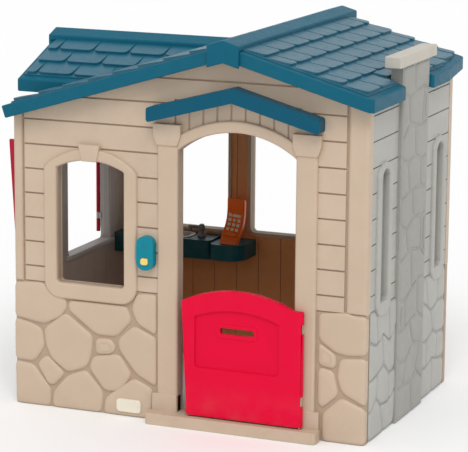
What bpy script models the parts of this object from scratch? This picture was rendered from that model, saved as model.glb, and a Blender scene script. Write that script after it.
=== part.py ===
"""Moulded plastic garden playhouse, modelled as the separate pieces it is put together from.

Run with: blender --background --python part.py
Metres, +Z up. X runs across the front (to the right seen from outside the door), Y runs from
the front wall towards the back wall. The pieces are drawn in a "wall frame": X zero in the
middle of the front wall, Y zero on its outer face, Z zero on the floor. One empty then shifts
them all, so that the origin is at the middle of the whole object's footprint.
"""

import math

import bmesh
import bpy

# ---------------------------------------------------------------- driving dimensions (metres)
CLEAR = 0.0003  # gap between pieces that touch

# walls
WALL_WIDTH = 1.240
WALL_DEPTH = 0.848
WALL_THICK = 0.036
TONGUE_DEPTH = 0.016
TONGUE_THICK = 0.014
TONGUE_HEIGHT = 0.070
TONGUE_LEVELS = (0.12, 0.46, 0.80)
RELIEF = 0.008  # how far bands and pilasters stand proud of a wall
PLINTH_PROUD = 0.012
CAPITAL_PROUD = 0.014
KEYSTONE_PROUD = 0.013

# main roof: a gable that faces the front, with its ridge nearer the right side
RIDGE_FROM_RIGHT = 0.470
GABLE_PEAK = 1.212  # underside of the roof at the ridge
LEFT_PITCH = 0.305  # fall per metre
RIGHT_PITCH = 0.279
ROOF_THICK = 0.044  # measured straight up
ROOF_FRONT_OVERHANG = 0.055
ROOF_BACK_OVERHANG = 0.137
RIGHT_EAVE_OVERHANG = 0.025
LEFT_EAVE_OVERHANG = 0.018
EAVE_CORNER = 0.030
EAVE_TAPER = 0.031  # the right eave runs in towards its far end
EAVE_TAPER_LENGTH = 0.265

# ridge caps
CAP_HALF_WIDTH = 0.055
CAP_THICK = 0.020
CAP_END_PLATE = 0.012
CAP_END_DROP = 0.052
CAP_BACK_OVERHANG = 0.045

# side gable on the left slope
SIDE_RIDGE_Y = WALL_DEPTH / 2 + 0.016
SIDE_HALF_SPAN = 0.310
SIDE_PITCH = 0.385
SIDE_PEAK_DROP = 0.057  # its underside at the ridge, below the main roof's
SIDE_OVERHANG = 0.055
DORMER_HALF_WIDTH = 0.255

# front door opening, pilasters and porch hood
DOOR_FROM_RIGHT = 0.443
DOOR_HALF_WIDTH = 0.203
DOOR_SPRING = 0.904
DOOR_CROWN = 0.976
ARCH_BAND = 0.038
PILASTER_WIDTH = 0.072
PLINTH_HEIGHT = 0.094
PLINTH_FLARE = 0.016
CAPITAL_BASE = 0.920
CAPITAL_TOP = 0.990
CAPITAL_FLARE = 0.014
HOOD_HALF_SPAN = DOOR_HALF_WIDTH + 0.092
HOOD_THICK = 0.048
HOOD_EAVE = 0.997
HOOD_RISE = 0.080
HOOD_DEPTH = 0.055

# door sill
SILL_HEIGHT = 0.038
SILL_FRONT = 0.058
SILL_OVERHANG = 0.094  # past each side of the door opening

# half door
LEAF_BOTTOM = 0.044
LEAF_SHOULDER = 0.422
LEAF_CROWN = 0.468
LEAF_THICK = 0.024
LEAF_GAP = 0.006  # behind the leaf, to the pilaster's face
LEAF_LEFT_GAP = 0.028
LEAF_LAP = 0.040  # how far the hinge stile laps over the right pilaster
STILE_WIDTH = 0.034
PANEL_RECESS = 0.006
PANEL_SIDE = 0.046
PANEL_BOTTOM = 0.205
PANEL_SHOULDER = 0.376
PANEL_CROWN = 0.404
SLOT_WIDTH = 0.118
SLOT_HEIGHT = 0.022
SLOT_LEVEL = 0.334

# hinges: a rod through the swinging piece and through knuckles fixed to the wall
ROD_RADIUS = 0.0035
ROD_PLAY = 0.0003
KNUCKLE_RADIUS = 0.008
KNUCKLE_HEIGHT = 0.030
KNUCKLE_PLAY = 0.0015
DOOR_KNUCKLE_LEVELS = (0.128, 0.365)
ROD_FOOT = 0.012  # how far the door's rod stands down into the sill

# front window
WINDOW_FROM_BELL = 0.206
WINDOW_HALF_WIDTH = 0.122
WINDOW_SILL = 0.432
WINDOW_SPRING = 0.818
WINDOW_CROWN = 0.848
WINDOW_BAND = 0.046
KEYSTONE_LOW = 0.853
KEYSTONE_HIGH = 0.900
KEYSTONE_LOW_WIDTH = 0.054
KEYSTONE_HIGH_WIDTH = 0.078

# left wall window and its shutters
SIDE_WINDOW_Y = WALL_DEPTH / 2 + 0.066
SIDE_WINDOW_HALF_WIDTH = 0.170
SIDE_WINDOW_SILL = 0.440
SIDE_WINDOW_SPRING = 0.820
SIDE_WINDOW_CROWN = 0.862
SHUTTER_THICK = 0.014
SHUTTER_GAP = 0.006  # behind a closed shutter, to the wall
SHUTTER_LOW = 0.462
SHUTTER_SHOULDER = 0.800
SHUTTER_CROWN = 0.838
SHUTTER_MEETING_GAP = 0.004
SHUTTER_TAPER = 0.022  # how much narrower a shutter is at its foot
SHUTTER_KNUCKLE_HEIGHT = 0.022
SHUTTER_KNUCKLE_RADIUS = 0.006
SHUTTER_KNUCKLE_LEVELS = (0.520, 0.760)
FRONT_SHUTTER_OPEN = 93.0  # degrees from closed, as it stands
REAR_SHUTTER_OPEN = 155.0

# right wall: chimney stack and two blind windows
STACK_HALF_WIDTH = 0.136
STACK_PROUD = 0.016
STACK_TOP = 1.178
STACK_INWARD = 0.046  # depth of the stack where it passes the roof
STACK_CLEARANCE = 0.004
CAP_SLAB_HALF_WIDTH = 0.187
CAP_SLAB_THICK = 0.038
BLIND_BAY = WALL_DEPTH / 2 - WALL_THICK - STACK_HALF_WIDTH  # from the stack to a corner
BLIND_OFFSET = STACK_HALF_WIDTH + BLIND_BAY * 0.5675
BLIND_HALF_WIDTH = BLIND_BAY * 0.151
BLIND_SILL = 0.442
BLIND_SPRING = 0.848
BLIND_CROWN = 0.872
BLIND_BAND = BLIND_BAY * 0.230
BLIND_DEPTH = 0.014

# back wall: two windows side by side
BACK_WINDOW_HALF_WIDTH = 0.144
BACK_MULLION = 0.086
BACK_WINDOWS_FROM_LEFT = 0.472  # middle of the mullion
BACK_SILL = 0.474
BACK_SPRING = 0.860
BACK_CROWN = 0.905
BACK_BAND = 0.016

# doorbell
BELL_FROM_PILASTER = 0.036
BELL_LEVEL = 0.562
BELL_WIDTH = 0.060
BELL_HEIGHT = 0.112
BELL_DEPTH = 0.028
BELL_WALL = 0.0025
BELL_BASE = 0.003
BUTTON_DROP = 0.026
BUTTON_WIDTH = BELL_WIDTH / 2.4
BUTTON_HEIGHT = 0.022
BUTTON_PROUD = 0.005
BUTTON_PLAY = 0.0006
BUTTON_FLANGE = BELL_WIDTH / 20
SPEAKER_RISE = 0.024
SPEAKER_RADIUS = BELL_WIDTH / 4
BATTERY_RADIUS = BELL_WIDTH * 0.085
BATTERY_LENGTH = 0.044

# badge plate
BADGE_WIDTH = 0.088
BADGE_HEIGHT = 0.044
BADGE_THICK = 0.003
BADGE_FROM_PILASTER = 0.102
BADGE_LEVEL = 0.038
BADGE_CORNER = 0.012

# kitchen counter, sink and tap
COUNTER_WIDTH = 0.372
COUNTER_DEPTH = 0.122
COUNTER_TOP = 0.456
COUNTER_THICK = 0.068
SINK_FROM_LEFT = 0.200
SINK_LENGTH = 0.150
SINK_WIDTH = 0.078
SINK_DEPTH = 0.040
SINK_WALL = 0.003
SINK_LIP = 0.008
TAP_FROM_LEFT = 0.316
TAP_RADIUS = 0.016
SPOUT_RADIUS = 0.006
SPOUT_REACH = 0.050

# telephone and its cradle
CRADLE_WIDTH = 0.125
CRADLE_DEPTH = 0.146
CRADLE_HEIGHT = 0.056
CRADLE_TOP = 0.450
CRADLE_GAP = 0.004
HANDSET_WIDTH = 0.066
HANDSET_LENGTH = 0.188
HANDSET_THICK = 0.024
HANDSET_BEND = 0.020
HANDSET_LEAN = 14.0  # degrees back from upright
HANDSET_TILT = 6.0  # degrees sideways
HANDSET_FROM_WALL = 0.112
HANDSET_SEAT = 0.026  # how deep it stands in the cradle
HANDSET_STRAIGHT = 0.035  # its foot, which slides in the cradle without a bend
HANDSET_PLAY = 0.0015
KEY_SIZE = 0.0105
KEY_PITCH_X = 0.0170
KEY_PITCH_Z = 0.0185
KEY_PROUD = 0.0022
KEY_PLATE = 0.002

# screws
SCREW_RADIUS = 0.0022
SCREW_HEAD_RADIUS = 0.0048
SCREW_HEAD_THICK = 0.003
SCREW_PLAY = 0.0003

# ---------------------------------------------------------------- derived places
LEFT = -WALL_WIDTH / 2
RIGHT = WALL_WIDTH / 2
BACK = WALL_DEPTH
RIDGE_X = RIGHT - RIDGE_FROM_RIGHT
DOOR_X = RIGHT - DOOR_FROM_RIGHT
PILASTER_LEFT = DOOR_X - DOOR_HALF_WIDTH - PILASTER_WIDTH
ROOF_FRONT = -ROOF_FRONT_OVERHANG
ROOF_BACK = BACK + ROOF_BACK_OVERHANG
CAP_FRONT = ROOF_FRONT - CAP_END_PLATE
CAP_BACK = ROOF_BACK + CAP_BACK_OVERHANG
SIDE_PEAK = GABLE_PEAK - SIDE_PEAK_DROP
SIDE_GABLE_LEFT = LEFT - SIDE_OVERHANG
LEAF_FRONT = -(RELIEF + LEAF_GAP + LEAF_THICK)
LEAF_BACK = -(RELIEF + LEAF_GAP)
LEAF_LEFT = DOOR_X - DOOR_HALF_WIDTH + LEAF_LEFT_GAP
LEAF_RIGHT = DOOR_X + DOOR_HALF_WIDTH + LEAF_LAP
DOOR_AXIS_X = LEAF_RIGHT - LEAF_THICK / 2
DOOR_AXIS_Y = (LEAF_FRONT + LEAF_BACK) / 2
SHUTTER_AXIS_X = LEFT - SHUTTER_GAP - SHUTTER_THICK / 2
SHUTTER_REACH = SIDE_WINDOW_HALF_WIDTH - SHUTTER_MEETING_GAP / 2
STACK_Y = BACK / 2 - 0.010
BELL_X = PILASTER_LEFT - BELL_FROM_PILASTER
WINDOW_X = BELL_X - WINDOW_FROM_BELL
BUTTON_LEVEL = BELL_LEVEL - BUTTON_DROP
BACK_WINDOWS_X = LEFT + BACK_WINDOWS_FROM_LEFT
COUNTER_LEFT = LEFT + WALL_THICK + CLEAR
COUNTER_BACK = BACK - WALL_THICK - CLEAR
CRADLE_LEFT = COUNTER_LEFT + COUNTER_WIDTH + CRADLE_GAP
SINK_X = COUNTER_LEFT + SINK_FROM_LEFT
SINK_Y = COUNTER_BACK - COUNTER_DEPTH / 2
TAP_X = COUNTER_LEFT + TAP_FROM_LEFT
HANDSET_X = CRADLE_LEFT + CRADLE_WIDTH / 2
HANDSET_Y = COUNTER_BACK - HANDSET_FROM_WALL

# the whole object's footprint at rest, which sets the origin
SHUTTER_ANGLE = math.radians(FRONT_SHUTTER_OPEN)
SHUTTER_TIP = SHUTTER_REACH * math.sin(SHUTTER_ANGLE) + SHUTTER_THICK / 2 * abs(math.cos(SHUTTER_ANGLE))
LEFTMOST = min(SHUTTER_AXIS_X - SHUTTER_TIP, SIDE_GABLE_LEFT - CAP_END_PLATE)
RIGHTMOST = RIGHT + RIGHT_EAVE_OVERHANG
ORIGIN_X = (LEFTMOST + RIGHTMOST) / 2
ORIGIN_Y = (CAP_FRONT + CAP_BACK) / 2

ARC_STEPS = 14
CORNER_STEPS = 4
ROUND_SIDES = 20
TOP = 2.0  # any height above the roof, for cutters
UNDER = -0.02  # walls are drawn from below the floor, then cut off level with it


# ---------------------------------------------------------------- scene helpers
def clear_scene():
    for obj in list(bpy.data.objects):
        bpy.data.objects.remove(obj, do_unlink=True)


def new_collection(name):
    collection = bpy.data.collections.new(name)
    bpy.context.scene.collection.children.link(collection)
    return collection


def make_material(name, colour, roughness, metallic=0.0):
    material = bpy.data.materials.new(name)
    material.use_nodes = True
    shader = material.node_tree.nodes["Principled BSDF"]
    shader.inputs["Base Color"].default_value = (*colour, 1.0)
    shader.inputs["Roughness"].default_value = roughness
    shader.inputs["Metallic"].default_value = metallic
    material.diffuse_color = (*colour, 1.0)
    return material


def place(obj, collection, material=None):
    """Put an object in a collection and under the empty that shifts everything to the origin."""
    collection.objects.link(obj)
    if obj.parent is None:
        obj.parent = ORIGIN
    if material is not None:
        obj.data.materials.append(material)
    return obj


def helper(obj):
    """A cutter or an addition: it shapes another object and is never part of the model itself."""
    place(obj, CUTTERS)
    obj.hide_render = True
    obj.display_type = "WIRE"
    return obj


def boolean(target, tool, operation):
    modifier = target.modifiers.new(tool.name, "BOOLEAN")
    modifier.operation = operation
    modifier.solver = "EXACT"
    modifier.object = tool
    return target


def cut(target, *tools):
    for tool in tools:
        boolean(target, helper(tool), "DIFFERENCE")
    return target


def add(target, *tools):
    for tool in tools:
        boolean(target, helper(tool), "UNION")
    return target


def soften(obj, width, segments=2, angle=35.0):
    modifier = obj.modifiers.new("soft_edges", "BEVEL")
    modifier.width = width
    modifier.segments = segments
    modifier.limit_method = "ANGLE"
    modifier.angle_limit = math.radians(angle)
    return obj


# ---------------------------------------------------------------- outlines
def arc(centre_u, centre_v, radius, start, end, steps):
    """Points on a circle, angles in radians from +U towards +V."""
    turn = (end - start) / steps
    return [
        (centre_u + radius * math.cos(start + turn * i), centre_v + radius * math.sin(start + turn * i))
        for i in range(steps + 1)
    ]


def fillet(corners, steps=CORNER_STEPS):
    """A closed outline from (u, v, radius) corners, each rounded with its own radius."""
    outline = []
    count = len(corners)
    for i, (u, v, radius) in enumerate(corners):
        if radius <= 0:
            outline.append((u, v))
            continue
        before, after = corners[i - 1], corners[(i + 1) % count]
        to_before = (before[0] - u, before[1] - v)
        to_after = (after[0] - u, after[1] - v)
        length_before = math.hypot(*to_before)
        length_after = math.hypot(*to_after)
        a = (to_before[0] / length_before, to_before[1] / length_before)
        b = (to_after[0] / length_after, to_after[1] / length_after)
        half = math.acos(max(-1.0, min(1.0, a[0] * b[0] + a[1] * b[1]))) / 2
        reach = min(radius / math.tan(half), 0.49 * length_before, 0.49 * length_after)
        bow = reach * math.tan(half)
        to_centre = bow / math.sin(half)
        middle = math.hypot(a[0] + b[0], a[1] + b[1])
        centre = (u + (a[0] + b[0]) / middle * to_centre, v + (a[1] + b[1]) / middle * to_centre)
        start = math.atan2(v + a[1] * reach - centre[1], u + a[0] * reach - centre[0])
        end = math.atan2(v + b[1] * reach - centre[1], u + b[0] * reach - centre[0])
        sweep = (end - start + math.pi) % (2 * math.pi) - math.pi
        outline += arc(centre[0], centre[1], bow, start, start + sweep, steps)
    return outline


def rounded_box(low_u, high_u, low_v, high_v, radius, steps=CORNER_STEPS):
    corners = [(low_u, low_v), (high_u, low_v), (high_u, high_v), (low_u, high_v)]
    return fillet([(u, v, radius) for u, v in corners], steps)


def arch_top(middle, half_width, spring, crown, steps=ARC_STEPS):
    """The arched top of an opening, from its right spring to its left spring."""
    rise = crown - spring
    radius = (half_width**2 + rise**2) / (2 * rise)
    half_sweep = math.asin(half_width / radius)
    start, end = math.pi / 2 - half_sweep, math.pi / 2 + half_sweep
    return arc(middle, crown - radius, radius, start, end, steps)


def arched(middle, half_width, bottom, spring, crown, radius=0.0):
    """An arched opening with a flat sill whose two corners may be rounded."""
    low = [(middle - half_width, bottom, radius), (middle + half_width, bottom, radius)]
    ends = [(middle + half_width, spring, 0.0), (middle - half_width, spring, 0.0)]
    sill = fillet(low + ends)[:-2]
    return sill + arch_top(middle, half_width, spring, crown)


def circle(centre_u, centre_v, radius, sides=ROUND_SIDES):
    return arc(centre_u, centre_v, radius, 0.0, 2 * math.pi * (sides - 1) / sides, sides - 1)


# ---------------------------------------------------------------- solids
TURNS = {"XY": (0.0, 0.0, 0.0), "XZ": (math.pi / 2, 0.0, 0.0), "YZ": (math.pi / 2, 0.0, math.pi / 2)}


def prism(name, loops, plane, low, high):
    """A flat outline with holes, drawn in a plane and extruded from low to high across it."""
    curve = bpy.data.curves.new(name + "_outline", "CURVE")
    curve.dimensions = "2D"
    curve.fill_mode = "BOTH"
    curve.extrude = (high - low) / 2
    for loop in loops:
        spline = curve.splines.new("POLY")
        spline.points.add(len(loop) - 1)
        for point, (u, v) in zip(spline.points, loop):
            point.co = (u, v, 0.0, 1.0)
        spline.use_cyclic_u = True
    flat = bpy.data.objects.new(name + "_flat", curve)
    bpy.context.scene.collection.objects.link(flat)
    bpy.context.view_layer.update()
    graph = bpy.context.evaluated_depsgraph_get()
    mesh = bpy.data.meshes.new_from_object(flat.evaluated_get(graph))
    bpy.data.objects.remove(flat, do_unlink=True)
    work = bmesh.new()
    work.from_mesh(mesh)
    bmesh.ops.remove_doubles(work, verts=work.verts, dist=0.00001)
    bmesh.ops.recalc_face_normals(work, faces=work.faces)
    work.to_mesh(mesh)
    work.free()
    mesh.materials.clear()
    obj = bpy.data.objects.new(name, mesh)
    obj.rotation_euler = TURNS[plane]
    middle = (low + high) / 2
    obj.location = {"XY": (0, 0, middle), "XZ": (0, middle, 0), "YZ": (middle, 0, 0)}[plane]
    return obj


def block(name, low, high):
    """A plain box between two corners."""
    mesh = bpy.data.meshes.new(name)
    work = bmesh.new()
    bmesh.ops.create_cube(work, size=1.0)
    sides = [high[i] - low[i] for i in range(3)]
    bmesh.ops.scale(work, vec=sides, verts=work.verts)
    work.to_mesh(mesh)
    work.free()
    obj = bpy.data.objects.new(name, mesh)
    obj.location = [(low[i] + high[i]) / 2 for i in range(3)]
    return obj


def rod(name, centre, radius, length, axis="Z", sides=ROUND_SIDES):
    """A cylinder centred on a point, along one axis."""
    mesh = bpy.data.meshes.new(name)
    work = bmesh.new()
    bmesh.ops.create_cone(
        work, cap_ends=True, segments=sides, radius1=radius, radius2=radius, depth=length
    )
    work.to_mesh(mesh)
    work.free()
    obj = bpy.data.objects.new(name, mesh)
    obj.location = centre
    obj.rotation_euler = {"X": (0, math.pi / 2, 0), "Y": (math.pi / 2, 0, 0), "Z": (0, 0, 0)}[axis]
    return obj


def turned(name, profile, centre, steps=ROUND_SIDES):
    """A turned solid: an outer profile of (radius, height) from the top down, spun round Z."""
    mesh = bpy.data.meshes.new(name)
    points = [(radius, 0.0, height) for radius, height in profile]
    mesh.from_pydata(points, [(i, i + 1) for i in range(len(points) - 1)], [])
    obj = bpy.data.objects.new(name, mesh)
    obj.location = centre
    spin = obj.modifiers.new("spin", "SCREW")
    spin.axis = "Z"
    spin.angle = 2 * math.pi
    spin.steps = steps
    spin.render_steps = steps
    spin.use_merge_vertices = True
    spin.merge_threshold = 0.00001
    return obj


def round_smooth(obj, angle=40.0):
    obj.data.shade_smooth()
    obj.data.set_sharp_from_angle(angle=math.radians(angle))
    return obj


# ---------------------------------------------------------------- roof heights
def under_roof(x):
    """Underside of the main roof above a place across the front."""
    fall = RIGHT_PITCH * (x - RIDGE_X) if x > RIDGE_X else LEFT_PITCH * (RIDGE_X - x)
    return GABLE_PEAK - fall


def over_roof(x):
    return under_roof(x) + ROOF_THICK


def under_side_gable(y):
    return SIDE_PEAK - SIDE_PITCH * abs(y - SIDE_RIDGE_Y)


# ---------------------------------------------------------------- walls
def gable_outline():
    """Front and back walls share this outline: flat foot, upright sides and a lopsided gable."""
    return [
        (LEFT, UNDER),
        (RIGHT, UNDER),
        (RIGHT, under_roof(RIGHT) - CLEAR),
        (RIDGE_X, GABLE_PEAK - CLEAR),
        (LEFT, under_roof(LEFT) - CLEAR),
    ]


def box_across(one_x, other_x, low_y, high_y, low_z, high_z):
    """The two corners of a box whose x values may come in either order."""
    return (min(one_x, other_x), low_y, low_z), (max(one_x, other_x), high_y, high_z)


def below_floor(name):
    return block(name + "_below_floor", (LEFT - 0.1, -0.2, -0.1), (RIGHT + 0.1, BACK + 0.1, 0.0))


def side_wall_sockets(wall, name, inner, outward):
    """Sockets for the side walls' tongues, sunk into the inner face of a front or back wall."""
    reach = TONGUE_DEPTH + CLEAR * 2
    for x in (LEFT + WALL_THICK / 2, RIGHT - WALL_THICK / 2):
        for i, level in enumerate(TONGUE_LEVELS):
            half = TONGUE_THICK / 2 + CLEAR * 2
            low_y, high_y = sorted((inner + outward * reach, inner - outward * 0.01))
            side = "left" if x < 0 else "right"
            socket = block(
                f"{name}_socket_{side}_{i}",
                (x - half, low_y, level - TONGUE_HEIGHT / 2 - CLEAR * 2),
                (x + half, high_y, level + TONGUE_HEIGHT / 2 + CLEAR * 2),
            )
            cut(wall, socket)


def window_band(name, middle, half_width, bottom, spring, crown, band, plane, low, high, step=0.001):
    """The raised band round an arched opening, set back a little from the opening's edge."""
    outer = fillet(
        [(middle - half_width - band, bottom - band, band * 1.1),
         (middle + half_width + band, bottom - band, band * 1.1),
         (middle + half_width + band, spring, 0.0), (middle - half_width - band, spring, 0.0)]
    )[:-2] + arch_top(middle, half_width + band, spring, crown + band * 0.8)
    inner = arched(middle, half_width + step, bottom - step, spring, crown + step, 0.012)
    return prism(name, [outer, inner], plane, low, high)


def make_front_wall():
    window = arched(WINDOW_X, WINDOW_HALF_WIDTH, WINDOW_SILL, WINDOW_SPRING, WINDOW_CROWN, 0.012)
    wall = prism("front_wall", [gable_outline(), window], "XZ", 0.0, WALL_THICK)
    sunk = WALL_THICK / 2
    for side, sign in (("left", -1), ("right", 1)):
        inner = DOOR_X + sign * (DOOR_HALF_WIDTH - 0.020)
        outer = DOOR_X + sign * (DOOR_HALF_WIDTH + PILASTER_WIDTH)
        shaft = block(
            f"pilaster_{side}", *box_across(inner, outer, -RELIEF, sunk, UNDER, CAPITAL_BASE + 0.010)
        )
        foot = block(f"plinth_{side}", *box_across(
            inner + sign * 0.003, outer + sign * PLINTH_FLARE, -PLINTH_PROUD, sunk + 0.001,
            UNDER * 1.2, PLINTH_HEIGHT,
        ))
        flare = CAPITAL_BASE + 0.028
        head = prism(
            f"capital_{side}",
            [[
                (inner + sign * 0.006, CAPITAL_BASE), (outer, CAPITAL_BASE),
                (outer + sign * CAPITAL_FLARE, flare), (outer + sign * CAPITAL_FLARE, CAPITAL_TOP),
                (inner + sign * 0.006, CAPITAL_TOP),
            ]],
            "XZ", -CAPITAL_PROUD, sunk + 0.002,
        )
        add(wall, shaft, foot, head)
    lintel = arched(
        DOOR_X, DOOR_HALF_WIDTH + 0.010, CAPITAL_BASE + 0.015, CAPITAL_TOP - 0.015, DOOR_CROWN + ARCH_BAND
    )
    add(wall, prism("door_arch_band", [lintel], "XZ", -RELIEF, sunk + 0.003))
    door = arched(DOOR_X, DOOR_HALF_WIDTH, UNDER * 2, DOOR_SPRING, DOOR_CROWN)
    cut(wall, prism("front_door_hole", [door], "XZ", -0.05, WALL_THICK + 0.05), below_floor("front"))
    add(wall, window_band(
        "front_window_band", WINDOW_X, WINDOW_HALF_WIDTH, WINDOW_SILL, WINDOW_SPRING, WINDOW_CROWN,
        WINDOW_BAND, "XZ", -RELIEF, sunk,
    ))
    keystone = prism(
        "window_keystone",
        [[
            (WINDOW_X - KEYSTONE_LOW_WIDTH / 2, KEYSTONE_LOW),
            (WINDOW_X + KEYSTONE_LOW_WIDTH / 2, KEYSTONE_LOW),
            (WINDOW_X + KEYSTONE_HIGH_WIDTH / 2, KEYSTONE_HIGH),
            (WINDOW_X - KEYSTONE_HIGH_WIDTH / 2, KEYSTONE_HIGH),
        ]],
        "XZ", -KEYSTONE_PROUD, sunk,
    )
    add(wall, keystone)
    side_wall_sockets(wall, "front", WALL_THICK, -1)
    return place(wall, HOUSE, TAN)


def back_window_middles():
    shift = BACK_MULLION / 2 + BACK_WINDOW_HALF_WIDTH
    return (("left", BACK_WINDOWS_X - shift), ("right", BACK_WINDOWS_X + shift))


def make_back_wall():
    inner = BACK - WALL_THICK
    holes = [
        arched(x, BACK_WINDOW_HALF_WIDTH, BACK_SILL, BACK_SPRING, BACK_CROWN, 0.020)
        for _, x in back_window_middles()
    ]
    wall = prism("back_wall", [gable_outline()] + holes, "XZ", inner, BACK)
    for side, x in back_window_middles():
        add(wall, window_band(
            f"back_window_band_{side}", x, BACK_WINDOW_HALF_WIDTH, BACK_SILL, BACK_SPRING, BACK_CROWN,
            BACK_BAND, "XZ", BACK - WALL_THICK / 2, BACK + RELIEF,
        ))
    cut(wall, below_floor("back"))
    side_wall_sockets(wall, "back", inner, 1)
    return place(wall, HOUSE, TAN)


def side_tongues(wall, name, x):
    """Tongues on a side wall's front and back edges, which plug into the end walls' sockets."""
    half = TONGUE_THICK / 2
    for end, edge, sign in (("front", WALL_THICK, -1), ("back", BACK - WALL_THICK, 1)):
        for i, level in enumerate(TONGUE_LEVELS):
            low_y, high_y = sorted((edge + sign * TONGUE_DEPTH, edge - sign * 0.010))
            tongue = block(
                f"{name}_tongue_{end}_{i}",
                (x - half, low_y, level - TONGUE_HEIGHT / 2),
                (x + half, high_y, level + TONGUE_HEIGHT / 2),
            )
            add(wall, tongue)


def make_left_wall():
    front, rear = WALL_THICK + CLEAR, BACK - WALL_THICK - CLEAR
    eave = under_roof(LEFT) - CLEAR
    low_y, high_y = SIDE_RIDGE_Y - DORMER_HALF_WIDTH, SIDE_RIDGE_Y + DORMER_HALF_WIDTH
    outline = [
        (front, 0.0),
        (rear, 0.0),
        (rear, eave),
        (high_y, eave),
        (high_y, under_side_gable(high_y) - CLEAR),
        (SIDE_RIDGE_Y, SIDE_PEAK - CLEAR),
        (low_y, under_side_gable(low_y) - CLEAR),
        (low_y, eave),
        (front, eave),
    ]
    window = arched(
        SIDE_WINDOW_Y, SIDE_WINDOW_HALF_WIDTH, SIDE_WINDOW_SILL, SIDE_WINDOW_SPRING, SIDE_WINDOW_CROWN, 0.020
    )
    wall = prism("left_wall", [outline, window], "YZ", LEFT, LEFT + WALL_THICK)
    side_tongues(wall, "left", LEFT + WALL_THICK / 2)
    return place(wall, HOUSE, GREY)


def blind_window_middles():
    return (("front", BACK / 2 - BLIND_OFFSET), ("rear", BACK / 2 + BLIND_OFFSET))


def make_right_wall():
    front, rear = WALL_THICK + CLEAR, BACK - WALL_THICK - CLEAR
    top = under_roof(RIGHT) - CLEAR
    outline = [(front, UNDER), (rear, UNDER), (rear, top), (front, top)]
    wall = prism("right_wall", [outline], "YZ", RIGHT - WALL_THICK, RIGHT)
    sunk = RIGHT - WALL_THICK / 2
    stack = block(
        "chimney_stack", (sunk, STACK_Y - STACK_HALF_WIDTH, UNDER * 1.5),
        (RIGHT + STACK_PROUD, STACK_Y + STACK_HALF_WIDTH, STACK_TOP),
    )
    neck = block(
        "chimney_neck", (RIGHT + STACK_PROUD - STACK_INWARD, STACK_Y - STACK_HALF_WIDTH, top - 0.02),
        (RIGHT + STACK_PROUD / 2, STACK_Y + STACK_HALF_WIDTH, STACK_TOP),
    )
    add(wall, stack, neck)
    cut(wall, below_floor("right"))
    for side, y in blind_window_middles():
        add(wall, window_band(
            f"blind_band_{side}", y, BLIND_HALF_WIDTH, BLIND_SILL, BLIND_SPRING, BLIND_CROWN,
            BLIND_BAND, "YZ", sunk, RIGHT + RELIEF,
        ))
        hollow = arched(y, BLIND_HALF_WIDTH, BLIND_SILL, BLIND_SPRING, BLIND_CROWN, 0.012)
        cut(wall, prism(f"blind_hollow_{side}", [hollow], "YZ", RIGHT - BLIND_DEPTH, RIGHT + 0.05))
    side_tongues(wall, "right", RIGHT - WALL_THICK / 2)
    return place(wall, HOUSE, STONE_GREY)


def make_chimney_cap():
    outer = RIGHT + STACK_PROUD
    cap = block(
        "chimney_cap",
        (outer - STACK_INWARD - 0.006, STACK_Y - CAP_SLAB_HALF_WIDTH, STACK_TOP + CLEAR),
        (outer + 0.004, STACK_Y + CAP_SLAB_HALF_WIDTH, STACK_TOP + CLEAR + CAP_SLAB_THICK),
    )
    soften(cap, 0.004)
    return place(cap, HOUSE, CAP_STONE)


# ---------------------------------------------------------------- roof
def plan_cutter(name, keep, low_z, high_z):
    """Everything outside a plan outline, to trim a roof panel's corners."""
    margin = 0.4
    frame = [(LEFT - margin, -margin), (RIGHT + margin, -margin),
             (RIGHT + margin, BACK + margin), (LEFT - margin, BACK + margin)]
    return prism(name, [frame, keep], "XY", low_z, high_z)


def make_roof_right():
    ridge = RIDGE_X + CLEAR / 2
    eave = RIGHT + RIGHT_EAVE_OVERHANG
    outline = [
        (ridge, under_roof(RIDGE_X)), (eave, under_roof(eave)),
        (eave, over_roof(eave)), (ridge, over_roof(RIDGE_X)),
    ]
    panel = prism("roof_panel_right", [outline], "XZ", ROOF_FRONT, ROOF_BACK)
    gap = STACK_CLEARANCE
    notch_x = RIGHT + STACK_PROUD - STACK_INWARD - gap
    near, far = STACK_Y - STACK_HALF_WIDTH - gap, STACK_Y + STACK_HALF_WIDTH + gap
    keep = fillet([
        (ridge - 0.05, ROOF_FRONT - 0.05, 0.0), (ridge + 0.2, ROOF_FRONT - 0.05, 0.0),
        (ridge + 0.2, ROOF_FRONT - 0.001, 0.0), (eave + 0.0005, ROOF_FRONT - 0.001, EAVE_CORNER),
        (eave + 0.0005, near, 0.012), (notch_x, near, 0.004), (notch_x, far, 0.004),
        (eave + 0.0005, far, 0.012), (eave + 0.0005, ROOF_BACK - EAVE_TAPER_LENGTH, 0.0),
        (eave - EAVE_TAPER, ROOF_BACK + 0.001, 0.012), (ridge + 0.2, ROOF_BACK + 0.001, 0.0),
        (ridge + 0.2, ROOF_BACK + 0.05, 0.0), (ridge - 0.05, ROOF_BACK + 0.05, 0.0),
    ])
    cut(panel, plan_cutter("roof_right_trim", keep, 0.8, TOP))
    return place(panel, HOUSE, BLUE)


def make_roof_left():
    ridge = RIDGE_X - CLEAR / 2
    eave = LEFT - LEFT_EAVE_OVERHANG
    lean = ROOF_THICK * LEFT_PITCH
    outline = [
        (ridge, over_roof(RIDGE_X)), (eave, over_roof(eave)), (eave + lean, under_roof(eave + lean)),
        (ridge, under_roof(RIDGE_X)),
    ]
    panel = prism("roof_panel_left", [outline], "XZ", ROOF_FRONT, ROOF_BACK)
    dormer = block(
        "dormer_notch", (eave - 0.05, SIDE_RIDGE_Y - DORMER_HALF_WIDTH - CLEAR, 0.8),
        (LEFT + WALL_THICK + CLEAR, SIDE_RIDGE_Y + DORMER_HALF_WIDTH + CLEAR, TOP),
    )
    cut(panel, dormer)
    return place(panel, HOUSE, BLUE)


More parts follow.
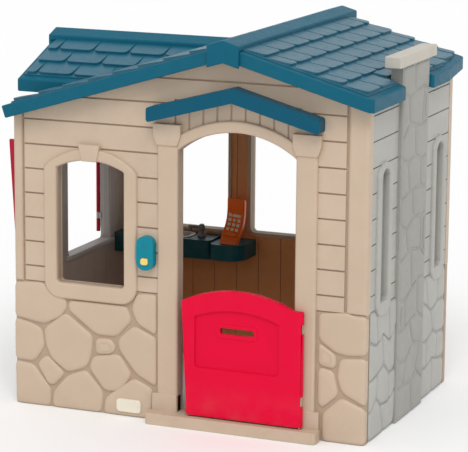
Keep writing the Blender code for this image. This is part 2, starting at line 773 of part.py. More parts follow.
def main_slope_wedge(name):
    """All that lies below the top of the main roof's left slope, to trim the side gable."""
    far_left = LEFT - 0.4
    outline = [
        (far_left, 0.5), (RIDGE_X, 0.5), (RIDGE_X, over_roof(RIDGE_X) + CLEAR),
        (far_left, over_roof(far_left) + CLEAR),
    ]
    return prism(name, [outline], "XZ", -0.2, BACK + 0.2)


def side_gable_outline(half_span, low_offset, high_offset):
    """A chevron across the side gable's slopes, between two heights above their underside."""
    near, far = SIDE_RIDGE_Y - half_span, SIDE_RIDGE_Y + half_span
    return [
        (near, under_side_gable(near) + low_offset), (SIDE_RIDGE_Y, SIDE_PEAK + low_offset),
        (far, under_side_gable(far) + low_offset), (far, under_side_gable(far) + high_offset),
        (SIDE_RIDGE_Y, SIDE_PEAK + high_offset), (near, under_side_gable(near) + high_offset),
    ]


def make_side_gable():
    outline = side_gable_outline(SIDE_HALF_SPAN, 0.0, ROOF_THICK)
    gable = prism("roof_side_gable", [outline], "YZ", SIDE_GABLE_LEFT, RIDGE_X - 0.02)
    cut(gable, main_slope_wedge("side_gable_trim"))
    return place(gable, HOUSE, BLUE)


def make_side_ridge_cap():
    low, high = ROOF_THICK + CLEAR, ROOF_THICK + CAP_THICK
    outline = side_gable_outline(CAP_HALF_WIDTH, low, high)
    cap = prism("ridge_cap_side", [outline], "YZ", SIDE_GABLE_LEFT - CAP_END_PLATE, RIDGE_X - 0.02)
    plate = side_gable_outline(CAP_HALF_WIDTH, high - CAP_END_DROP - 0.02, high)
    add(cap, prism("side_cap_end", [plate], "YZ", SIDE_GABLE_LEFT - CAP_END_PLATE, SIDE_GABLE_LEFT - CLEAR))
    cut(cap, main_slope_wedge("side_cap_trim"))
    return place(cap, HOUSE, BLUE)


def ridge_outline(low_offset, high_offset):
    left, right = RIDGE_X - CAP_HALF_WIDTH, RIDGE_X + CAP_HALF_WIDTH
    return [
        (left, under_roof(left) + low_offset), (RIDGE_X, GABLE_PEAK + low_offset),
        (right, under_roof(right) + low_offset), (right, under_roof(right) + high_offset),
        (RIDGE_X, GABLE_PEAK + high_offset), (left, under_roof(left) + high_offset),
    ]


def make_ridge_cap():
    low, high = ROOF_THICK + CLEAR, ROOF_THICK + CAP_THICK
    cap = prism("ridge_cap_main", [ridge_outline(low, high)], "XZ", CAP_FRONT, CAP_BACK)
    plate = ridge_outline(high - CAP_END_DROP - 0.02, high)
    add(
        cap,
        prism("cap_end_front", [plate], "XZ", CAP_FRONT, ROOF_FRONT - CLEAR),
        prism("cap_end_back", [plate], "XZ", ROOF_BACK + CLEAR, CAP_BACK),
    )
    return place(cap, HOUSE, BLUE)


def make_porch_hood():
    left, right = DOOR_X - HOOD_HALF_SPAN, DOOR_X + HOOD_HALF_SPAN
    peak = HOOD_EAVE + HOOD_RISE
    outline = fillet([
        (left, HOOD_EAVE, 0.008), (DOOR_X, peak, 0.0), (right, HOOD_EAVE, 0.008),
        (right, HOOD_EAVE + HOOD_THICK, 0.010), (DOOR_X, peak + HOOD_THICK, 0.012),
        (left, HOOD_EAVE + HOOD_THICK, 0.010),
    ])
    hood = prism("porch_hood", [outline], "XZ", -HOOD_DEPTH, -CLEAR)
    for name, x, _, z in hood_screw_places():
        cut(hood, rod(name + "_hole", (x, -0.005, z), SCREW_RADIUS + SCREW_PLAY, 0.030, "Y", 12))
    return place(hood, HOUSE, HOOD_BLUE)


# ---------------------------------------------------------------- door sill and half door
def make_sill():
    half = DOOR_HALF_WIDTH - CLEAR
    reach = DOOR_HALF_WIDTH + SILL_OVERHANG
    front = -SILL_FRONT
    step = -PLINTH_PROUD - CLEAR
    outline = fillet([
        (DOOR_X - reach, front, 0.010), (DOOR_X + reach, front, 0.010), (DOOR_X + reach, step, 0.0),
        (DOOR_X + half, step, 0.0), (DOOR_X + half, WALL_THICK, 0.0), (DOOR_X - half, WALL_THICK, 0.0),
        (DOOR_X - half, step, 0.0), (DOOR_X - reach, step, 0.0),
    ])
    sill = prism("door_sill", [outline], "XY", 0.0, SILL_HEIGHT)
    soften(sill, 0.004, angle=60.0)
    cut(sill, rod("rod_socket", (DOOR_AXIS_X, DOOR_AXIS_Y, SILL_HEIGHT), ROD_RADIUS + ROD_PLAY, 2 * ROD_FOOT))
    return place(sill, HOUSE, TAN)


def make_half_door():
    middle = (LEAF_LEFT + LEAF_RIGHT - STILE_WIDTH) / 2
    half = (LEAF_RIGHT - STILE_WIDTH - LEAF_LEFT) / 2
    top = arch_top(middle, half, LEAF_SHOULDER, LEAF_CROWN)
    outline = fillet([
        (LEAF_LEFT, LEAF_BOTTOM, 0.010), (LEAF_RIGHT, LEAF_BOTTOM, 0.003),
        (LEAF_RIGHT, LEAF_SHOULDER, 0.003), (LEAF_RIGHT - STILE_WIDTH, LEAF_SHOULDER, 0.0),
    ])[:-1] + top
    leaf = prism("half_door", [outline], "XZ", LEAF_FRONT, LEAF_BACK)
    panel = arched(
        middle, half - PANEL_SIDE, PANEL_BOTTOM, PANEL_SHOULDER, PANEL_CROWN, 0.012
    )
    slot = rounded_box(
        middle - SLOT_WIDTH / 2, middle + SLOT_WIDTH / 2, SLOT_LEVEL - SLOT_HEIGHT / 2,
        SLOT_LEVEL + SLOT_HEIGHT / 2, 0.008,
    )
    beyond = LEAF_THICK
    around = arc(DOOR_AXIS_X, DOOR_AXIS_Y, LEAF_THICK / 2, math.pi / 2, -math.pi / 2, 10)
    outside = [
        (DOOR_AXIS_X, LEAF_FRONT - beyond), (LEAF_RIGHT + beyond, LEAF_FRONT - beyond),
        (LEAF_RIGHT + beyond, LEAF_BACK + beyond), (DOOR_AXIS_X, LEAF_BACK + beyond),
    ]
    cut(
        leaf,
        prism("door_panel_recess", [panel], "XZ", LEAF_FRONT - 0.01, LEAF_FRONT + PANEL_RECESS),
        prism("mail_slot", [slot], "XZ", LEAF_FRONT - 0.01, LEAF_BACK + 0.01),
        prism("stile_round", [outside + around], "XY", LEAF_BOTTOM - 0.01, LEAF_SHOULDER + 0.01),
        rod(
            "door_rod_bore", (DOOR_AXIS_X, DOOR_AXIS_Y, (LEAF_BOTTOM + LEAF_SHOULDER) / 2),
            ROD_RADIUS + ROD_PLAY, LEAF_SHOULDER - LEAF_BOTTOM + 0.02,
        ),
    )
    room = KNUCKLE_RADIUS + KNUCKLE_PLAY
    for i, level in enumerate(DOOR_KNUCKLE_LEVELS):
        pocket = block(
            f"door_pocket_{i}",
            (DOOR_AXIS_X - room, DOOR_AXIS_Y - room, level - KNUCKLE_HEIGHT / 2 - KNUCKLE_PLAY),
            (LEAF_RIGHT + 0.01, LEAF_BACK + 0.01, level + KNUCKLE_HEIGHT / 2 + KNUCKLE_PLAY),
        )
        cut(leaf, pocket)
    return place(leaf, HOUSE, RED)


def make_door_hinges():
    for name, level in zip(("lower", "upper"), DOOR_KNUCKLE_LEVELS):
        knuckle = rod(f"door_hinge_{name}", (DOOR_AXIS_X, DOOR_AXIS_Y, level), KNUCKLE_RADIUS, KNUCKLE_HEIGHT)
        neck = block(
            f"door_neck_{name}",
            (DOOR_AXIS_X - KNUCKLE_RADIUS * 0.5, DOOR_AXIS_Y, level - KNUCKLE_HEIGHT / 2),
            (DOOR_AXIS_X + KNUCKLE_RADIUS * 0.5, -RELIEF - CLEAR, level + KNUCKLE_HEIGHT / 2),
        )
        add(knuckle, neck)
        bore = rod(
            f"door_knuckle_bore_{name}", (DOOR_AXIS_X, DOOR_AXIS_Y, level), ROD_RADIUS + ROD_PLAY,
            KNUCKLE_HEIGHT * 2,
        )
        cut(knuckle, bore)
        place(knuckle, HOUSE, TAN)
    low, high = SILL_HEIGHT - ROD_FOOT + CLEAR, LEAF_SHOULDER - 0.002
    pin = rod("door_hinge_rod", (DOOR_AXIS_X, DOOR_AXIS_Y, (low + high) / 2), ROD_RADIUS, high - low)
    place(pin, HOUSE, STEEL)


# ---------------------------------------------------------------- shutters
def make_shutter(name, hinge_y, sign, angle):
    """One shutter, drawn closed with its hinge axis at its own origin, then swung to its angle.

    sign is +1 where the closed shutter reaches towards +Y from its hinge, and -1 towards -Y.
    """
    axis = bpy.data.objects.new(name + "_axis", None)
    axis.location = (SHUTTER_AXIS_X, hinge_y, 0.0)
    axis.rotation_euler = (0.0, 0.0, math.radians(sign * angle))
    HOUSE.objects.link(axis)
    axis.parent = ORIGIN
    thick = SHUTTER_THICK / 2
    width = SHUTTER_REACH + thick
    plan = fillet([
        (-thick, -sign * thick, thick * 0.8), (thick, -sign * thick, thick * 0.8),
        (thick, sign * SHUTTER_REACH, 0.002), (-thick, sign * SHUTTER_REACH, 0.002),
    ])
    panel = prism(name, [plan], "XY", SHUTTER_LOW, SHUTTER_CROWN)
    panel.parent = axis
    rise = SHUTTER_CROWN - SHUTTER_SHOULDER
    radius = (width**2 + rise**2) / (2 * rise)
    steps = 8
    arch = []
    for i in range(steps + 1):
        from_tip = width * i / steps
        height = SHUTTER_CROWN - radius + math.sqrt(radius**2 - from_tip**2)
        arch.append((sign * (SHUTTER_REACH - from_tip), height))
    past_hinge, past_tip = -sign * (thick + 0.02), sign * (SHUTTER_REACH + 0.02)
    above = [(past_tip, SHUTTER_CROWN), (past_tip, SHUTTER_CROWN + 0.05),
             (past_hinge, SHUTTER_CROWN + 0.05), (past_hinge, SHUTTER_SHOULDER - 0.004)]
    trim = prism(name + "_arch", [above + arch[::-1]], "YZ", -thick * 2, thick * 2)
    trim.parent = axis
    cut(panel, trim)
    wedge = [
        (sign * (SHUTTER_REACH - SHUTTER_TAPER), SHUTTER_LOW), (sign * SHUTTER_REACH, SHUTTER_CROWN),
        (past_tip, SHUTTER_CROWN), (past_tip, SHUTTER_LOW - 0.01),
        (sign * (SHUTTER_REACH - SHUTTER_TAPER), SHUTTER_LOW - 0.01),
    ]
    slant = prism(name + "_slant", [wedge], "YZ", -thick * 2, thick * 2)
    slant.parent = axis
    cut(panel, slant)
    room = SHUTTER_KNUCKLE_RADIUS + KNUCKLE_PLAY * 2
    for i, level in enumerate(SHUTTER_KNUCKLE_LEVELS):
        half = SHUTTER_KNUCKLE_HEIGHT / 2 + KNUCKLE_PLAY
        low_y, high_y = sorted((-sign * (thick + 0.01), sign * room))
        notch = block(f"{name}_notch_{i}", (-0.05, low_y, level - half), (0.05, high_y, level + half))
        notch.parent = axis
        cut(panel, notch)
    bore = rod(
        name + "_bore", (0.0, 0.0, (SHUTTER_LOW + SHUTTER_SHOULDER) / 2 + 0.01), ROD_RADIUS + ROD_PLAY,
        SHUTTER_SHOULDER - SHUTTER_LOW, sides=12,
    )
    bore.parent = axis
    cut(panel, bore)
    place(panel, HOUSE, CRIMSON)
    low, high = SHUTTER_LOW + 0.014, SHUTTER_SHOULDER - 0.004
    pin = rod(name + "_rod", (0.0, 0.0, (low + high) / 2), ROD_RADIUS, high - low, sides=12)
    pin.parent = axis
    place(pin, HOUSE, STEEL)


def make_shutter_hinges(name, hinge_y):
    for place_name, level in zip(("lower", "upper"), SHUTTER_KNUCKLE_LEVELS):
        centre = (SHUTTER_AXIS_X, hinge_y, level)
        knuckle = rod(
            f"{name}_hinge_{place_name}", centre, SHUTTER_KNUCKLE_RADIUS, SHUTTER_KNUCKLE_HEIGHT, sides=16
        )
        neck = block(
            f"{name}_neck_{place_name}",
            (SHUTTER_AXIS_X, hinge_y - SHUTTER_KNUCKLE_RADIUS * 0.7, level - SHUTTER_KNUCKLE_HEIGHT / 2),
            (LEFT - CLEAR, hinge_y + SHUTTER_KNUCKLE_RADIUS * 0.7, level + SHUTTER_KNUCKLE_HEIGHT / 2),
        )
        add(knuckle, neck)
        bore = rod(
            f"{name}_knuckle_bore_{place_name}", centre, ROD_RADIUS + ROD_PLAY, SHUTTER_KNUCKLE_HEIGHT * 2,
            sides=12,
        )
        cut(knuckle, bore)
        place(knuckle, HOUSE, GREY)


def make_shutters():
    front_y = SIDE_WINDOW_Y - SIDE_WINDOW_HALF_WIDTH
    rear_y = SIDE_WINDOW_Y + SIDE_WINDOW_HALF_WIDTH
    make_shutter("shutter_front", front_y, 1, FRONT_SHUTTER_OPEN)
    make_shutter("shutter_rear", rear_y, -1, REAR_SHUTTER_OPEN)
    make_shutter_hinges("shutter_front", front_y)
    make_shutter_hinges("shutter_rear", rear_y)


# ---------------------------------------------------------------- doorbell
def bell_outline(inset):
    half = BELL_WIDTH / 2 - inset
    low, high = BELL_LEVEL - BELL_HEIGHT / 2 + inset, BELL_LEVEL + BELL_HEIGHT / 2 - inset
    return rounded_box(BELL_X - half, BELL_X + half, low, high, half * 0.92, 7)


def button_outline(extra):
    half_x, half_z = BUTTON_WIDTH / 2 + extra, BUTTON_HEIGHT / 2 + extra
    return rounded_box(
        BELL_X - half_x, BELL_X + half_x, BUTTON_LEVEL - half_z, BUTTON_LEVEL + half_z, 0.007
    )


def make_doorbell():
    front = -BELL_DEPTH
    base_front = -CLEAR - BELL_BASE
    base = prism("doorbell_base", [bell_outline(0.0)], "XZ", base_front, -CLEAR)
    place(base, HOUSE, TEAL)
    cover = prism("doorbell_cover", [bell_outline(0.0)], "XZ", front, base_front - CLEAR)
    soften(cover, 0.006, 3, 50.0)
    cut(
        cover,
        prism("bell_hollow", [bell_outline(BELL_WALL)], "XZ", front + BELL_WALL + 0.003, base_front + 0.01),
        prism("button_hole", [button_outline(BUTTON_PLAY)], "XZ", front - 0.01, base_front + 0.01),
    )
    place(cover, HOUSE, TEAL)
    inner = front + BELL_WALL + 0.003
    button = prism("doorbell_button", [button_outline(0.0)], "XZ", front - BUTTON_PROUD, inner + 0.004)
    flange = prism(
        "button_flange", [button_outline(BUTTON_FLANGE)], "XZ", inner + CLEAR * 2, inner + 0.003
    )
    add(button, flange)
    place(button, HOUSE, YELLOW)
    board_back = base_front - 0.004
    board_front = board_back - 0.0016
    half = BELL_WIDTH / 2 - BELL_WALL - 0.004
    board = prism(
        "doorbell_circuit_board",
        [rounded_box(BELL_X - half, BELL_X + half, BELL_LEVEL - 0.040, BELL_LEVEL + 0.040, 0.008)],
        "XZ", board_front, board_back,
    )
    place(board, HOUSE, BOARD_GREEN)
    speaker = rod(
        "doorbell_speaker", (BELL_X, board_front - CLEAR - 0.004, BELL_LEVEL + SPEAKER_RISE),
        SPEAKER_RADIUS, 0.008, "Y", 24,
    )
    place(speaker, HOUSE, STEEL)
    aside = BELL_WIDTH / 2 - BELL_WALL - BATTERY_RADIUS - 0.0008
    for side, sign in (("left", -1), ("right", 1)):
        battery = rod(
            f"doorbell_battery_{side}",
            (BELL_X + sign * aside, board_front - CLEAR - BATTERY_RADIUS, BELL_LEVEL - 0.006),
            BATTERY_RADIUS, BATTERY_LENGTH, "Z", 14,
        )
        place(battery, HOUSE, STEEL)


def make_badge():
    x = PILASTER_LEFT - BADGE_FROM_PILASTER
    half, tall = BADGE_WIDTH / 2, BADGE_HEIGHT / 2
    outline = rounded_box(x - half, x + half, BADGE_LEVEL - tall, BADGE_LEVEL + tall, BADGE_CORNER, 6)
    plate = prism("badge_plate", [outline], "XZ", -RELIEF - BADGE_THICK, -CLEAR)
    return place(plate, HOUSE, TEAL)


# ---------------------------------------------------------------- kitchen counter
def make_counter():
    front = COUNTER_BACK - COUNTER_DEPTH
    right = COUNTER_LEFT + COUNTER_WIDTH
    outline = fillet([
        (COUNTER_LEFT, front, 0.004), (right, front, 0.022), (right, COUNTER_BACK, 0.0),
        (COUNTER_LEFT, COUNTER_BACK, 0.0),
    ])
    counter = prism("kitchen_counter", [outline], "XY", COUNTER_TOP - COUNTER_THICK, COUNTER_TOP)
    soften(counter, 0.004, angle=60.0)
    hole = rounded_box(
        SINK_X - SINK_LENGTH / 2, SINK_X + SINK_LENGTH / 2, SINK_Y - SINK_WIDTH / 2, SINK_Y + SINK_WIDTH / 2,
        0.020,
    )
    cut(counter, prism("sink_hole", [hole], "XY", COUNTER_TOP - COUNTER_THICK - 0.02, COUNTER_TOP + 0.02))
    place(counter, HOUSE, DARK_TEAL)
    make_sink()
    make_tap()


def make_sink():
    """A dish with a lip that hangs in the counter's hole."""
    def loop(grow):
        return rounded_box(
            SINK_X - SINK_LENGTH / 2 - grow, SINK_X + SINK_LENGTH / 2 + grow,
            SINK_Y - SINK_WIDTH / 2 - grow, SINK_Y + SINK_WIDTH / 2 + grow, 0.020 + grow,
        )
    lip_low = COUNTER_TOP + CLEAR
    basin = prism("sink_basin", [loop(-CLEAR)], "XY", COUNTER_TOP - SINK_DEPTH, lip_low + 0.001)
    add(basin, prism("sink_lip", [loop(SINK_LIP)], "XY", lip_low, lip_low + 0.003))
    cut(basin, prism(
        "sink_bowl", [loop(-SINK_WALL)], "XY", COUNTER_TOP - SINK_DEPTH + SINK_WALL, COUNTER_TOP + 0.02
    ))
    return place(basin, HOUSE, LIGHT_GREY)


def make_tap():
    base_low = COUNTER_TOP + CLEAR
    base = turned(
        "tap_base",
        [(0.0, 0.020), (TAP_RADIUS * 0.62, 0.020), (TAP_RADIUS * 0.78, 0.014), (TAP_RADIUS, 0.006),
         (TAP_RADIUS, 0.0), (0.0, 0.0)],
        (TAP_X, SINK_Y, base_low),
    )
    place(base, HOUSE, TAP_GREY)
    top_low = base_low + 0.020 + CLEAR
    spout = turned(
        "tap_spout",
        [(0.0, 0.026), (TAP_RADIUS * 0.45, 0.025), (TAP_RADIUS * 0.72, 0.018), (TAP_RADIUS * 0.72, 0.008),
         (TAP_RADIUS * 0.6, 0.0), (0.0, 0.0)],
        (TAP_X, SINK_Y, top_low),
    )
    reach = rod(
        "tap_reach", (TAP_X - SPOUT_REACH / 2, SINK_Y, top_low + 0.013), SPOUT_RADIUS, SPOUT_REACH, "X", 14
    )
    nozzle = rod(
        "tap_nozzle", (TAP_X - SPOUT_REACH + SPOUT_RADIUS, SINK_Y, top_low + 0.007), SPOUT_RADIUS * 1.05,
        0.020, "Z", 14,
    )
    add(spout, reach, nozzle)
    return place(spout, HOUSE, TAP_GREY)


# ---------------------------------------------------------------- telephone
def handset_frame(name):
    """An empty at the foot of the handset, whose local Z runs up the handset as it leans back."""
    frame = bpy.data.objects.new(name, None)
    frame.location = (HANDSET_X, HANDSET_Y, CRADLE_TOP - HANDSET_SEAT)
    frame.rotation_euler = (-math.radians(HANDSET_LEAN), math.radians(HANDSET_TILT), 0.0)
    HOUSE.objects.link(frame)
    frame.parent = ORIGIN
    return frame


def handset_profile(front_offset, back_offset, low, high, steps=10):
    """Side view of the curved handset: (y, z) with its middle bowed towards the back."""
    def middle(height):
        along = max(0.0, height - HANDSET_STRAIGHT) / (HANDSET_LENGTH - HANDSET_STRAIGHT)
        return HANDSET_BEND * (math.sin(math.pi * min(along, 1.0)) ** 1.5 - 0.55 * along**3)
    heights = [low + (high - low) * i / steps for i in range(steps + 1)]
    back = [(middle(z) + back_offset, z) for z in heights]
    front = [(middle(z) + front_offset, z) for z in reversed(heights)]
    return back + front


def make_handset(frame):
    half = HANDSET_THICK / 2
    outline = handset_profile(-half, half, 0.0, HANDSET_LENGTH)
    body = prism("phone_handset", [outline], "YZ", -HANDSET_WIDTH / 2, HANDSET_WIDTH / 2)
    body.parent = frame
    soften(body, 0.0045, 2, 60.0)
    low, high = 0.052, 0.138
    recess = prism(
        "keypad_recess",
        [handset_profile(-half - 0.01, -half + KEY_PLATE + 3 * CLEAR, low, high, 6)],
        "YZ", -KEY_PITCH_X * 1.5, KEY_PITCH_X * 1.5,
    )
    recess.parent = frame
    cut(body, recess)
    place(body, HOUSE, ORANGE)

    margin = 0.0004
    pad = prism(
        "phone_keypad",
        [handset_profile(-half, -half + KEY_PLATE, low + margin, high - margin, 6)],
        "YZ", -KEY_PITCH_X * 1.5 + margin, KEY_PITCH_X * 1.5 - margin,
    )
    pad.parent = frame
    for row in range(4):
        level = low + 0.026 + KEY_PITCH_Z * 0.9 * row
        face = handset_profile(-half, -half, level, level + 0.001, 1)[0][0]
        for column in (-1, 0, 1):
            key = block(
                f"key_{row}_{column + 1}",
                (column * KEY_PITCH_X - KEY_SIZE / 2, face - KEY_PROUD, level - KEY_SIZE / 2),
                (column * KEY_PITCH_X + KEY_SIZE / 2, face + KEY_PLATE * 0.5, level + KEY_SIZE / 2),
            )
            key.parent = frame
            add(pad, key)
    level = low + 0.010
    face = handset_profile(-half, -half, level, level + 0.001, 1)[0][0]
    bar = block(
        "key_bar", (-KEY_PITCH_X, face - KEY_PROUD, level - 0.0045),
        (KEY_PITCH_X, face + KEY_PLATE * 0.5, level + 0.0045),
    )
    bar.parent = frame
    add(pad, bar)
    place(pad, HOUSE, CREAM)


def make_cradle(frame):
    front = COUNTER_BACK - CRADLE_DEPTH
    right = CRADLE_LEFT + CRADLE_WIDTH
    outline = fillet([
        (CRADLE_LEFT, front, 0.030), (right, front, 0.060), (right, COUNTER_BACK, 0.004),
        (CRADLE_LEFT, COUNTER_BACK, 0.004),
    ], 6)
    cradle = prism("phone_cradle", [outline], "XY", CRADLE_TOP - CRADLE_HEIGHT, CRADLE_TOP)
    soften(cradle, 0.010, 3, 60.0)
    half = HANDSET_THICK / 2 + HANDSET_PLAY
    socket = prism(
        "handset_socket", [handset_profile(-half, half, -HANDSET_PLAY, HANDSET_SEAT * 1.6, 5)],
        "YZ", -HANDSET_WIDTH / 2 - HANDSET_PLAY, HANDSET_WIDTH / 2 + HANDSET_PLAY,
    )
    socket.parent = frame
    cut(cradle, socket)
    return place(cradle, HOUSE, PHONE_TEAL)


def make_telephone():
    frame = handset_frame("handset_lift_axis")
    make_cradle(frame)
    make_handset(frame)


# ---------------------------------------------------------------- screws
def hood_screw_places():
    """(name, x, y of the head's underside, z) of the screws that hold the porch hood."""
    level = HOOD_EAVE + HOOD_THICK / 2 + HOOD_RISE * 0.5
    shift = HOOD_HALF_SPAN * 0.5
    return [
        ("hood_screw_left", DOOR_X - shift, WALL_THICK, level),
        ("hood_screw_right", DOOR_X + shift, WALL_THICK, level),
    ]


def counter_screw_places():
    level = COUNTER_TOP - COUNTER_THICK / 2
    return [
        ("counter_screw_left", COUNTER_LEFT + 0.060, BACK, level),
        ("counter_screw_right", COUNTER_LEFT + COUNTER_WIDTH - 0.036, BACK, level),
        ("cradle_screw", HANDSET_X + 0.050, BACK, CRADLE_TOP - CRADLE_HEIGHT / 2),
    ]


def make_screw(name, x, head_y, z, length, target, wall):
    """A pan-head screw that points towards -Y, its hole through a wall, and its pilot hole."""
    head_low = head_y + CLEAR
    screw = rod(name, (x, head_low + SCREW_HEAD_THICK / 2, z), SCREW_HEAD_RADIUS, SCREW_HEAD_THICK, "Y", 14)
    shank = rod(name + "_shank", (x, head_low + 0.001 - length / 2, z), SCREW_RADIUS, length, "Y", 10)
    add(screw, shank)
    place(screw, HOUSE, STEEL)
    hole = rod(
        name + "_clearance", (x, head_y - length / 2, z), SCREW_RADIUS + SCREW_PLAY, length + 0.004, "Y", 12
    )
    cut(wall, hole)
    if target is not None:
        boolean(target, hole, "DIFFERENCE")


def make_screws():
    objects = bpy.data.objects
    for name, x, head_y, z in hood_screw_places():
        make_screw(name, x, head_y, z, WALL_THICK + 0.018, None, objects["front_wall"])
    for name, x, head_y, z in counter_screw_places():
        piece = objects["phone_cradle" if name.startswith("cradle") else "kitchen_counter"]
        make_screw(name, x, head_y, z, WALL_THICK + 0.020, piece, objects["back_wall"])


# ---------------------------------------------------------------- build
clear_scene()
HOUSE = new_collection("playhouse")
CUTTERS = new_collection("cutters")
ORIGIN = bpy.data.objects.new("origin_shift", None)
ORIGIN.location = (-ORIGIN_X, -ORIGIN_Y, 0.0)
HOUSE.objects.link(ORIGIN)

TAN = make_material("tan_plastic", (0.56, 0.43, 0.30), 0.55)
GREY = make_material("grey_plastic", (0.34, 0.34, 0.32), 0.6)
STONE_GREY = make_material("stone_grey_plastic", (0.37, 0.37, 0.34), 0.6)
CAP_STONE = make_material("cap_stone_plastic", (0.52, 0.48, 0.41), 0.6)
BLUE = make_material("roof_blue_plastic", (0.012, 0.120, 0.230), 0.45)
HOOD_BLUE = make_material("hood_blue_plastic", (0.004, 0.115, 0.220), 0.4)
RED = make_material("door_red_plastic", (0.75, 0.004, 0.045), 0.4)
CRIMSON = make_material("shutter_red_plastic", (0.52, 0.004, 0.040), 0.4)
TEAL = make_material("bell_teal_plastic", (0.004, 0.230, 0.330), 0.35)
DARK_TEAL = make_material("counter_teal_plastic", (0.004, 0.050, 0.075), 0.4)
PHONE_TEAL = make_material("cradle_teal_plastic", (0.004, 0.095, 0.150), 0.4)
YELLOW = make_material("button_yellow_plastic", (0.85, 0.62, 0.16), 0.4)
ORANGE = make_material("phone_orange_plastic", (0.60, 0.110, 0.012), 0.4)
CREAM = make_material("key_cream_plastic", (0.85, 0.72, 0.50), 0.5)
LIGHT_GREY = make_material("sink_grey_plastic", (0.55, 0.52, 0.50), 0.4)
TAP_GREY = make_material("tap_grey_plastic", (0.16, 0.15, 0.13), 0.35)
STEEL = make_material("zinc_steel", (0.55, 0.55, 0.56), 0.35, 1.0)
BOARD_GREEN = make_material("circuit_board_green", (0.02, 0.16, 0.05), 0.5)

make_front_wall()
make_back_wall()
make_left_wall()
make_right_wall()
make_chimney_cap()
make_roof_right()
make_roof_left()
make_side_gable()
make_ridge_cap()
make_side_ridge_cap()
make_porch_hood()
make_sill()
make_half_door()
make_door_hinges()
make_shutters()
make_doorbell()
make_badge()
make_counter()
make_telephone()
make_screws()

for rounded in ("door_hinge_rod", "shutter_front_rod", "shutter_rear_rod", "doorbell_speaker"):
    round_smooth(bpy.data.objects[rounded])
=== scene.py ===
"""Looks of a moulded plastic playhouse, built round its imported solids.

Sizes are in metres. Each wall and roof slope is modelled flat, in its own plane: u runs along it,
v runs up it and w stands out of it. It is then set in its place on the house.
"""

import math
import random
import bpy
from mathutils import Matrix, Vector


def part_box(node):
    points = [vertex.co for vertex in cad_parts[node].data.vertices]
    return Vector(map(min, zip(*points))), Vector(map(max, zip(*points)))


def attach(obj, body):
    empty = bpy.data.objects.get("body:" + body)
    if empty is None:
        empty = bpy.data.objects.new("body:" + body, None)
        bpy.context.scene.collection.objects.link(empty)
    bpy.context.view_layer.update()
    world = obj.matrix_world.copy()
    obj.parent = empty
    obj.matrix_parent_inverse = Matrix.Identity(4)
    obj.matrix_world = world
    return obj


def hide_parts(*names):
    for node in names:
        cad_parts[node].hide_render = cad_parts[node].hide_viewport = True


bl_info = {
    "name": "Plastic playhouse",
    "version": (1, 0, 0),
    "blender": (4, 5, 0),
    "location": "3D View > Sidebar > Playhouse",
    "description": "Models the planked, stone-faced walls, shingled roofs and fittings of a toy playhouse",
    "category": "Add Mesh",
}

import bmesh
import bpy
from mathutils import Matrix, Vector

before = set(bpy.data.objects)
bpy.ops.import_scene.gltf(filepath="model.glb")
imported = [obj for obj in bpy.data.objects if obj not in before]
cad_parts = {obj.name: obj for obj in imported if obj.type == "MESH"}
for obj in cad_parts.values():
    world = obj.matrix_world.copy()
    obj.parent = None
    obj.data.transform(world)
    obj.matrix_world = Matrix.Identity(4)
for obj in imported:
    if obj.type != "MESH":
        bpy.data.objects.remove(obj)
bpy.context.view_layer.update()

# ---------------------------------------------------------------- places read from the solids
WALL_THICK = 0.036
FRONT_LOW, FRONT_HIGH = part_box("front_wall")
HOUSE = Vector(((FRONT_LOW.x + FRONT_HIGH.x) / 2, FRONT_HIGH.y - WALL_THICK, 0.0))
HALF_WIDTH = (FRONT_HIGH.x - FRONT_LOW.x) / 2
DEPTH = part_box("back_wall")[0].y + WALL_THICK - HOUSE.y


def low(node):
    """Lowest corner of a solid, measured from the foot of the front wall's outer face."""
    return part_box(node)[0] - HOUSE


def high(node):
    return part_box(node)[1] - HOUSE


RIDGE_X = (low("ridge_cap_main").x + high("ridge_cap_main").x) / 2
CAP_HALF = (high("ridge_cap_main").x - low("ridge_cap_main").x) / 2
ROOF_THICK = 0.044
LEFT_PITCH = 0.305
RIGHT_PITCH = 0.279
ROOF_PEAK = high("ridge_cap_main").z - 0.020
WALL_PEAK = ROOF_PEAK - ROOF_THICK
ROOF_FRONT = low("roof_panel_right").y
ROOF_BACK = high("roof_panel_right").y
EAVE_RIGHT = high("roof_panel_right").x
EAVE_LEFT = low("roof_panel_left").x
SIDE_RIDGE_Y = (low("ridge_cap_side").y + high("ridge_cap_side").y) / 2
SIDE_SPAN = (high("roof_side_gable").y - low("roof_side_gable").y) / 2
SIDE_TOP = high("ridge_cap_side").z - 0.020
SIDE_PITCH = 0.385
SIDE_LEFT = low("roof_side_gable").x
DOOR_X = (low("porch_hood").x + high("porch_hood").x) / 2
STACK_LOW_Y = 0.278
STACK_HIGH_Y = 0.550
EAVE_TAPER = 0.031
EAVE_TAPER_LENGTH = 0.265
FIELD_TOP = 0.005
NOTCH = 0.062
NOTCH_MARGIN = 0.016
BED_MARGIN = 0.004
KEY_AREA = 0.00018  # faces larger than this are the bed between the keys

SIDING_LEVELS = [0.425, 0.478, 0.561, 0.642, 0.724, 0.806, 0.888, 0.972, 1.055, 1.137, 1.215]


